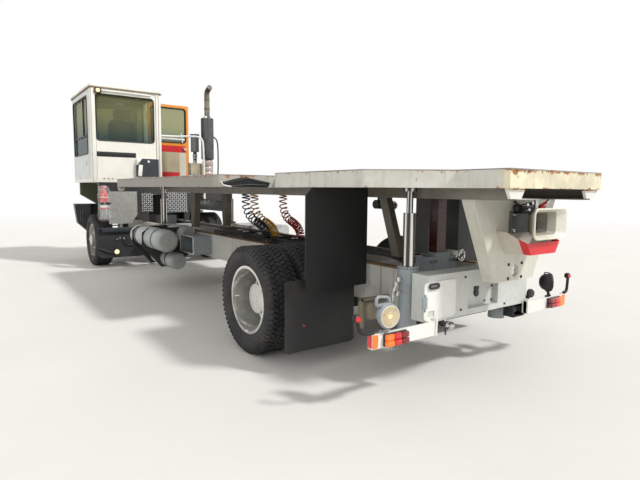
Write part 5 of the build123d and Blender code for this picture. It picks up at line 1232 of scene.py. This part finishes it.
def vent_details():
    """The angular dark cover of the vent, with its slots, cap and pale strip, and a dark sheet on its left
    side as painted shade.
    """
    low, high = 0.123, 0.512
    outline = ((low, 1.648), (high, 1.648), (high, 1.86), (high - 0.085, 1.975), (low, 1.975))
    add("vent_cover", "blue_black", "black_plastic",
        plate([(vent_face - 0.003, y, z) for y, z in outline], (0.0025, 0, 0)),
        # A dark sheet on the vent box's left side: painted shade, where that side lies in shadow
        box((vent_face - 0.001, high, 1.65), (wall - 0.001, high + 0.0025, 1.86), 0),
        bolts([(vent_face - 0.003, y, z) for y in (0.16, 0.475) for z in (1.69, 1.84)], BACKWARD, 0.008,
              0.005),
        *[box((vent_face - 0.007, 0.16, 1.72 + 0.035 * level),
              (vent_face - 0.002, 0.36, 1.727 + 0.035 * level),
              0.001) for level in range(4)])
    add("vent_marks", "white", "white_paint",
        lathe((vent_face - 0.004, 0.31, 1.925), (-1, 0, 0.2), [(0.0, 0.022), (0.006, 0.02), (0.008, 0.0)],
              20),
        box((vent_face - 0.016, 0.43, 1.655), (vent_face - 0.004, 0.50, 1.86), 0.004,
            Matrix.Rotation(math.radians(6), 4, "X")))


def cab_details():
    """Everything small on the outside of the cab."""
    add("blank_plate", "seal", "black_plastic",
        box((wall - 0.005, 0.51, 1.99), (wall - 0.0003, 1.205, 2.076), 0.002))
    add("cab_sill_strip", "green", "frame_grey",
        box((wall - 0.004, 0.80, 1.485), (wall + 0.02, 1.19, 1.533), 0.004))
    add("roof_tube", "white", "white_paint",
        bent([(wall - 0.012, 0.22, 3.135), (wall - 0.014, 0.7, 3.137), (wall - 0.012, 1.09, 3.135)], 0.016),
        *[rod((wall - 0.012, y, 3.135), (wall + 0.004, y, 3.15), 0.01) for y in (0.25, 0.65, 1.06)])
    add("roof_lamp_housing", "brown", "black_plastic",
        box((wall - 0.05, 1.08, 3.085), (wall - 0.0005, 1.20, 3.165), 0.012))
    add("roof_lamp_lens", "lens_warm", "lamp_red",
        lathe((wall - 0.0505, 1.14, 3.125), BACKWARD, [(0.0, 0.034), (0.008, 0.028), (0.014, 0.0)], 28))
    add("post_folds", "cab", "cab_paint",
        *[box((wall - 0.012, low, POST_FOOT), (wall + 0.02, high, POST_HEAD), 0.009) for low,
          high in POST_FOLDS],
        box((wall + 0.012, 1.246, POST_FOOT), (wall + 0.07, 1.2625, POST_HEAD), 0.006))
    # Thin dark strips: beside the corner posts' folds they are painted shadow; the thin sheet at the roof's
    # rim shows as a dark line along it
    add("fold_shadow_and_roof_lines", "plank", "cab_paint",
        *[box((wall - 0.002, y, 1.60), (wall + 0.001, y + 0.003, 3.15), 0) for y in (0.080, 0.131, 1.183)],
        box((wall - 0.026, 0.012, 3.176), (wall + 1.75, 1.2745, 3.1815), 0.002))
    seal("rear_window_seal", "X", wall - 0.002, 0.165, 1.18, 2.27, 3.08)
    seal("front_window_seal", "X", cab_high.x + 0.002, 0.12, 1.165, 2.05, 3.09)
    seal("left_window_seal", "Y", cab_high.y + 0.001, *LEFT_PANE, 2.045, 3.08)
    seal("right_window_seal", "Y", 0.028, 4.04, 4.585, 2.27, 3.08)
    inner, outer = cab_high.y - 0.03, cab_high.y - 0.004
    add("left_window_bars", "seal", "black_rubber",
        box((LEFT_PANE[0] + 0.02, inner, 2.365), (LEFT_PANE[1] - 0.02, outer, 2.395), 0.004),
        box((3.72, inner, 2.38), (3.755, outer, 3.065), 0.004))
    add("side_slots", "seal", "black_plastic", *[
        box((3.45, cab_high.y - 0.001, z), (3.55, cab_high.y + 0.003, z + 0.012), 0.001)
        for z in (1.86, 1.90)])
    add("blank_stickers", "beige", "white_paint", *[
        rod((wall - 0.0006, y, 1.60), (wall - 0.002, y, 1.60), 0.018) for y in (0.93, 1.0, 1.07)])
    x = cab_high.x + 0.012
    add("wiper", "seal", "black_plastic",
        tube([(x, 0.62, 2.02), (x + 0.012, 0.50, 2.35), (x + 0.008, 0.42, 2.62)], 0.008),
        box((x - 0.004, 0.36, 2.30), (x + 0.006, 0.375, 2.92), 0.002,
            Matrix.Rotation(math.radians(-14), 4, "X")),
        rod((x - 0.014, 0.62, 2.02), (x + 0.008, 0.62, 2.02), 0.02))


def door_details():
    """The door's seal, coloured bands, rail, lever and handle, on both of its faces."""
    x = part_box("door_frame")[0].x
    for label, face in (("inner", x - 0.001), ("outer", x + 0.041)):
        seal(f"door_seal_{label}", "X", face, -0.806, -0.074, 2.40, 3.11, "door", 0.014)
    # columns: name, finish, outer and inner edge, bottom, top, how far both faces' sheets stand off
    for name, finish, low, high, bottom, top, near, far in (
        ("door_red_band", "red", -0.806, -0.12, 2.20, 2.332, 0.0022, 0.0402),
        ("door_panel", "beige", -0.806, -0.12, 1.78, 2.197, 0.0022, 0.0402),
        ("door_foot_band", "red", -0.806, -0.12, 1.64, 1.777, 0.0022, 0.0402),
        ("door_pale_strip", "pale_strip", -0.80, -0.655, 1.66, 2.19, 0.0046, 0.0422),
    ):
        add(name, finish, "cab_paint", *[
            box((face, low, bottom), (face + 0.002, high, top), 0) for face in (x - near, x + far)],
            body="door")
    add("door_rail", "white", "white_paint",
        box((x - 0.03, -0.775, 2.455), (x - 0.012, -0.12, 2.485), 0.006),
        *[rod((x, y, 2.47), (x - 0.02, y, 2.47), 0.008) for y in (-0.765, -0.13)],
        rod((x - 0.022, -0.72, 2.40), (x - 0.03, -0.69, 2.60), 0.014, 0.01), body="door")
    add("door_handle", "chrome", "rod_chrome",
        box((x - 0.03, -0.80, 2.24), (x - 0.0005, -0.73, 2.30), 0.008),
        box((x + 0.0405, -0.80, 2.26), (x + 0.07, -0.66, 2.29), 0.008), body="door")


vent_details()
cab_details()
door_details()

# Cushions: how far the seams lie from the middle, and the power that rounds the corners
SEAM = 0.45
ROUNDING = 5


def cushion(name, low, high, crown):
    """A padded block: crowned faces, sides that pull in between its corners, and two sewn lines."""
    centre = (Vector(low) + Vector(high)) / 2
    half = (Vector(high) - Vector(low)) / 2

    def form(mesh):
        verts = bmesh.ops.create_cube(mesh, size=2)["verts"]
        edges = list({edge for vert in verts for edge in vert.link_edges})
        bmesh.ops.subdivide_edges(mesh, edges=edges, cuts=13, use_grid_fill=True)
        for vert in mesh.verts:
            x, y, z = vert.co
            length = (abs(x) ** ROUNDING + abs(y) ** ROUNDING + abs(z) ** ROUNDING) ** (1 / ROUNDING)
            swell = crown * (1 - x * x) * (1 - y * y) if abs(z) > 0.99 else 0
            groove = 0.006 if abs(abs(y) - SEAM) < 0.05 and z > 0.9 else 0
            vert.co = centre + vert.co * half / length
            vert.co.z += math.copysign(swell, z) - groove

    add(name, "cloth", "seat_fabric", form, sharp=75)


def cab_inside():
    """Seat, dome lamp and the curved grip behind the glass."""
    low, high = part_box("seat")
    x = low.x + 0.055
    cushion("seat_cushion", (x + 0.01, 0.405, 1.905), (high.x - 0.004, 0.895, 2.015), 0.012)
    cushion("seat_back", (low.x + 0.002, 0.405, 2.018), (low.x + 0.108, 0.895, 2.70), 0.0)
    cushion("seat_head", (low.x + 0.01, 0.5, 2.712), (low.x + 0.10, 0.8, 2.876), 0.0)
    bellows = []
    for level in range(5):
        step = 0.008 * (level % 2)
        z = 1.72 + 0.035 * level
        bellows.append(box((x + 0.12 + step, 0.52 + step, z), (x + 0.42 - step, 0.78 - step, z + 0.037),
                           0.01))
    add("seat_base", "brown", "seat_fabric", box((x + 0.10, 0.505, 1.596), (x + 0.44, 0.795, 1.72), 0.02),
        *bellows,
        stands_for="seat")
    add("dome_lamp", "lens_white", "lamp_red",
        lathe((4.50, 0.39, 3.179), (0, 0, -1), [(0.0, 0.085), (0.012, 0.085), (0.03, 0.06), (0.036, 0.0)],
              32))
    add("inside_grip", "white", "white_paint",
        bent([(4.55, 0.22, 2.95), (4.53, 0.22, 2.7), (4.50, 0.22, 2.45), (4.46, 0.2, 2.33)], 0.014))


# Air tanks as in the solids; columns: Y, Z, radius, rear end, front end
TANKS = (
    (1.000, 0.743, 0.146, front - 3.55, front - 2.25),
    (0.562, 0.775, 0.124, front - 3.144, front - 2.33),
    (0.800, 0.444, 0.115, front - 3.38, front - 2.25),
)


def tank_details():
    """Straps, end bosses and seams of the air tanks, and the rims of the outriggers."""
    straps = []
    bosses = []
    for y, z, radius, tail, nose in TANKS:
        for share in (0.22, 0.78):
            straps.append(lathe((tail + (nose - tail) * share, y, z), AHEAD, [
                (-0.018, radius + 0.0005), (-0.018, radius + 0.004), (0.018, radius + 0.004),
                (0.018, radius + 0.0005)]))
        for x, way in ((tail, -1), (nose, 1)):
            bosses.append(lathe((x, y, z), (way, 0, 0), [(-0.012, 0.022), (0.004, 0.022), (0.006, 0.012),
                                                         (0.006, 0.0)], 20))
            bosses.append(lathe((x - way * 0.05, y, z), AHEAD,
                                [(-0.003, radius + 0.0004), (0, radius + 0.003),
                                 (0.003, radius + 0.0004)]))
    add("tank_straps", "black_paint", "black_plastic", *straps)
    add("tank_bosses", "tank", "cylinder_grey", *bosses)
    edge_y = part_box("outriggers")[1].y + 0.001
    for side in SIDES:
        loop = rounded_loop((front - 3.39, side * edge_y, 0.6745), 0.236, 0.116, 0.012, across=AHEAD)
        add(f"outrigger_rim_{LABELS[side]}", "white", "frame_grey", tube(loop, 0.005, 8, closed=True))


def extinguisher():
    """A red bottle with a blank label under crumpled clear film, on its arm."""
    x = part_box("extinguisher_box")[0].x + 0.085
    y = 1.175
    add("extinguisher_bottle", "red", "red_paint",
        lathe((x, y, 0.90), UP, [(0.0, 0.0), (0.0, 0.06), (0.012, 0.068), (0.42, 0.068), (0.47, 0.05),
                                 (0.50, 0.022), (0.54, 0.022), (0.545, 0.0)], 36),
        box((x - 0.02, y - 0.05, 1.435), (x + 0.02, y + 0.05, 1.46), 0.006), stands_for="extinguisher_box")
    add("extinguisher_label", "white", "white_paint", *[
        lathe((x, y, z), UP, [(0.0, 0.0684), (0.0, 0.0696), (height, 0.0696), (height, 0.0684)], 36)
        for z, height in ((1.10, 0.075), (1.27, 0.012))])
    add("extinguisher_sleeve", "grey_plastic", "white_paint",
        lathe((x, y, 0.905), UP, [(0.0, 0.064), (0.0, 0.0715), (0.165, 0.0715), (0.165, 0.064)], 36))

    def crumpled(mesh):
        lathe((x, y, 0.868), UP,
              [(0.0, 0.0), (0.0, 0.05), (0.03, 0.078), (0.12, 0.083), (0.3, 0.08), (0.45, 0.083),
               (0.56, 0.074), (0.60, 0.05), (0.618, 0.0)], 40)(mesh)
        bmesh.ops.subdivide_edges(mesh, edges=mesh.edges[:], cuts=3, use_grid_fill=True)
        for vert in mesh.verts:
            rough = noise.noise(vert.co * 22) * 0.007 + noise.noise(vert.co * 55) * 0.003
            way = Vector((vert.co.x - x, (vert.co.y - y) * 0.9, 0))
            if way.length > 0.02:
                vert.co += way.normalized() * rough
                vert.co.y += (vert.co.y - y) * 0.25

    add("extinguisher_film", "wrap", "red_paint", crumpled, sharp=20)
    add("extinguisher_arm", "black_paint", "axle_black",
        box((x - 0.02, 1.09, 1.345), (2.86, 1.14, 1.395), 0.006),
        box((x - 0.08, 1.085, 1.15), (x - 0.06, 1.26, 1.19), 0.004))


HEADLAMP_Y = 0.76
HEADLAMP_Z = 0.76


def front_details():
    """Headlamps and indicators in the bumper, and pale tubes on the folded edges of its open rear ends as a
    painted highlight.
    """
    low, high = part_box("bumper")
    lamps = [(high.x, side * HEADLAMP_Y, HEADLAMP_Z) for side in SIDES]
    add("headlamp_lenses", "lens_white", "lamp_red", *[
        lathe((x - 0.0075, y, z), AHEAD, [(0.0, 0.078), (0.003, 0.06), (0.005, 0.03), (0.006, 0.0)], 40)
        for x, y, z in lamps])
    add("headlamp_rings", "chrome", "rod_chrome", *[
        tube(circle((x - 0.004, y, z), ACROSS * 0.084, UP * 0.084, 40), 0.004, 8, closed=True) for x, y,
        z in lamps])
    add("indicators", "lens_orange", "lamp_red", *[
        box((high.x - 0.0105, side * 0.90, 0.72), (high.x - 0.0005, side * 0.985, 0.80), 0.003)
        for side in SIDES])
    # Pale tubes along the bumper's open edges and slots: a painted highlight where the edges catch the light
    edges = []
    for side in SIDES:
        outer = ((1.2895, 1.1025), (1.281, 0.93), (1.243, 0.722), (1.084, 0.562))
        edges.append(tube([(low.x, side * y, z) for y, z in outer], 0.0075, 8))
        edges.append(tube([(low.x, side * y, 1.1025) for y in (1.288, 1.05)], 0.0075, 8))
        slot = rounded_loop((low.x - 0.002, side * 1.175, 0.87), 0.019, 0.102, 0.012)
        edges.append(tube(slot, 0.004, 6, closed=True))
    add("bumper_edge_highlights", "grey_plastic", "black_plastic", *edges)


def guard_details():
    """The side lamp, plugs, line and fittings on the guard behind the left front wheel."""
    x = front - 0.68
    add("side_lamp_lens", "lens_warm", "lamp_red",
        lathe((x - 0.028, 0.956, 0.304), BACKWARD,
              [(0.0, 0.042), (0.012, 0.040), (0.02, 0.024), (0.022, 0.0)], 28))
    add("guard_fittings", "blue_black", "axle_black",
        box((x - 0.028, 0.912, 0.260), (x - 0.001, 1.0, 0.348), 0.008),
        bent([(x - 0.012, 0.99, 0.30), (x - 0.016, 1.06, 0.295), (x - 0.016, 1.18, 0.345),
              (x - 0.012, 1.262, 0.375)], 0.016),
        tube([(x - 0.012, 0.98, 0.34), (x - 0.014, 0.99, 0.44), (x - 0.006, 0.965, 0.515)], 0.008),
        box((x - 0.055, 0.44, 0.716), (x + 0.012, 1.262, 0.735), 0.006),
        box((x - 0.055, 0.44, 0.66), (x - 0.046, 1.20, 0.722), 0.003))
    plugs = ((0.945, 0.525), (0.90, 0.545), (0.83, 0.535))
    add("guard_plugs", "iron", "dark_iron",
        *[rod((x - 0.001, y, z), (x - 0.03, y, z), 0.018) for y, z in plugs],
        *[rod((x - 0.028, y, z), (x - 0.04, y, z + 0.004), 0.012) for y, z in plugs])
    add("guard_line", "hose_black", "hose_black",
        bent([(x - 0.03, 0.83, 0.53), (x - 0.03, 0.80, 0.455), (x - 0.022, 0.72, 0.415),
              (x - 0.018, 0.60, 0.45),
              (x - 0.012, 0.53, 0.54), (x - 0.008, 0.50, 0.66)], 0.009))


# The exhaust's stack and the intake, as in the solids
stack = Vector((front - 0.53, -0.86, 0))
intake = Vector((front - 0.286, -0.696, 0))


def band(centre, z, half, inner, outer, sides=36):
    """A flat ring round an upright pipe."""
    return lathe(centre + UP * z, UP, [(-half, inner), (-half, outer), (half, outer), (half, inner)], sides)


def exhaust_details():
    """Clamps, the ribbed lower silencer, red bands, a clip and the guard bar of the exhaust."""
    add("exhaust_clamps", "iron", "exhaust_steel",
        *[band(stack, z, 0.012, radius - 0.002, radius + 0.003) for z, radius in (
            (1.735, 0.086), (1.86, 0.0852), (1.995, 0.086), (3.0, 0.055), (2.84, 0.058), (3.18, 0.054))],
        rod(stack + Vector((-0.05, 0.03, 3.0)), stack + Vector((-0.08, 0.03, 3.0)), 0.008))
    add("lower_silencer", "silencer", "exhaust_steel", lathe(stack + UP * 1.36, UP, [
        (0.30, 0.05), (0.305, 0.098), (0.325, 0.106), (0.40, 0.106), (0.41, 0.100), (0.42, 0.106),
        (0.50, 0.106),
        (0.51, 0.100), (0.52, 0.106), (0.60, 0.106), (0.63, 0.098), (0.645, 0.06)], 44))
    add("exhaust_band", "red", "exhaust_steel", band(stack, 1.715, 0.01, 0.106, 0.1075, 44),
        band(stack, 1.92, 0.02, 0.0845, 0.0868))
    add("exhaust_clip", "white", "exhaust_steel",
        box(stack + Vector((-0.135, 0.06, 2.80)), stack + Vector((-0.09, 0.10, 2.84)), 0.006))
    guard = ((-0.04, -0.12, 1.37), (-0.05, -0.19, 1.7), (-0.05, -0.20, 2.2), (-0.05, -0.17, 2.4),
             (-0.05, -0.06, 2.47),
             (-0.10, 0.06, 2.42), (-0.13, 0.09, 2.34))
    add("exhaust_guard_bar", "black_paint", "exhaust_steel",
        bent([stack + Vector(place) for place in guard], 0.014))


def platform_details():
    """The grey side panel, the mottled tank, the bent handrail and the intake."""
    bay_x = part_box("bay_panels")[0].x
    outline = ((0.66, 0.796), (1.0445, 0.796), (1.0445, 1.373), (0.5505, 1.373), (0.5505, 0.96))
    add("grey_bay_panel", "panel", "aluminium",
        plate([(bay_x - 0.0016, y, z) for y, z in outline], (0.0014, 0, 0)))
    add("mottled_tank", "mottled", "frame_grey", box((2.861, -0.762, 1.698), (2.957, -0.468, 1.932), 0.02))
    rail_x = front - 0.40
    post_x = front - 0.65
    add("bent_handrail", "white", "white_paint",
        bent([(rail_x, 0.028, 2.43), (rail_x - 0.04, -0.25, 2.432), (post_x + 0.08, -0.52, 2.44),
              (post_x + 0.02, -0.64, 2.43), (post_x, -0.70, 2.37), (post_x, -0.72, 2.25),
              (post_x, -0.73, 1.8),
              (post_x, -0.735, 1.24)], 0.0185, 10, 14),
        box((post_x - 0.01, -0.75, 1.27), (bay_x + 0.001, -0.72, 1.31), 0.004), stands_for="handrail")
    add("intake_fittings", "aluminium", "aluminium", *[
        lathe(intake + UP * z, UP, [(-0.015, radius - 0.01), (-0.012, radius), (0.012, radius),
                                    (0.015, radius - 0.01)], 30)
        for z, radius in ((2.05, 0.045), (2.10, 0.05), (1.97, 0.042))])
    add("intake_canister", "grey_plastic", "exhaust_steel", lathe(intake + UP * 2.168, UP, [
        (0.0, 0.03), (0.004, 0.0805), (0.03, 0.082), (0.10, 0.0805), (0.11, 0.083), (0.12, 0.0805),
        (0.32, 0.0805),
        (0.325, 0.093), (0.347, 0.093), (0.35, 0.0)], 40))


cab_inside()
tank_details()
extinguisher()
front_details()
guard_details()
exhaust_details()
platform_details()

# Light: columns are name, strength, angle, the way it shines
SUNS = (("sun", 2.6, 0.10, (0.62, 0.36, -0.72)), ("fill", 0.5, 0.6, (0.5, -0.7, -0.5)))
PURE_WHITE = (1, 1, 1, 1)
WORLD_LIGHT = 0.75
FLOOR_SIZE = 160
# Distances between which the floor fades into the surround
FLOOR_FADE = (9, 26)


def add_floor():
    """A pale floor that fades into the white surround."""
    bpy.ops.mesh.primitive_plane_add(size=FLOOR_SIZE)
    floor = bpy.context.object
    floor.name = "floor"
    made = Shading("floor")
    share = made.ramp(made.cloud(0.8, 6), 0.35, 0.7, 0, 0.25)
    made.give("Base Color", made.mix(share, (214, 212, 206), (196, 193, 186)))
    made.give("Roughness", 0.95)
    distance = add_node(made.tree, "ShaderNodeVectorMath", {0: made.place},
                        operation="LENGTH").outputs["Value"]
    glow = add_node(made.tree, "ShaderNodeEmission", {"Color": PURE_WHITE, "Strength": 1.0})
    fade = {0: made.ramp(distance, *FLOOR_FADE), 1: made.shader.outputs[0], 2: glow.outputs[0]}
    blend = add_node(made.tree, "ShaderNodeMixShader", fade)
    made.tree.links.new(blend.outputs[0], made.tree.nodes["Material Output"].inputs["Surface"])
    floor.data.materials.append(made.material)


def add_light():
    """A white surround, which lights the object less than it shows, and soft lamps."""
    world = bpy.data.worlds.new("world")
    bpy.context.scene.world = world
    world.use_nodes = True
    tree = world.node_tree
    light = tree.nodes["Background"]
    light.inputs["Color"].default_value = PURE_WHITE
    light.inputs["Strength"].default_value = WORLD_LIGHT
    white = add_node(tree, "ShaderNodeBackground", {"Color": PURE_WHITE, "Strength": 1.0})
    ray = add_node(tree, "ShaderNodeLightPath").outputs
    share = ray["Is Camera Ray"]
    for kind in ("Is Glossy Ray", "Is Transmission Ray"):
        share = add_node(tree, "ShaderNodeMath", {0: share, 1: ray[kind]}, operation="MAXIMUM").outputs[0]
    mixed = add_node(tree, "ShaderNodeMixShader", {0: share, 1: light.outputs[0], 2: white.outputs[0]})
    tree.links.new(mixed.outputs[0], tree.nodes["World Output"].inputs["Surface"])
    for name, energy, angle, way in SUNS:
        lamp = bpy.data.lights.new(name, "SUN")
        lamp.energy = energy
        lamp.angle = angle
        holder = bpy.data.objects.new(name, lamp)
        holder.rotation_euler = Vector(way).to_track_quat("-Z", "Y").to_euler()
        bpy.context.scene.collection.objects.link(holder)


add_floor()
add_light()
bpy.context.scene.view_settings.view_transform = "Standard"
print("air lines, developed:", {name: round(length, 2) for name, length in hose_lengths.items()})
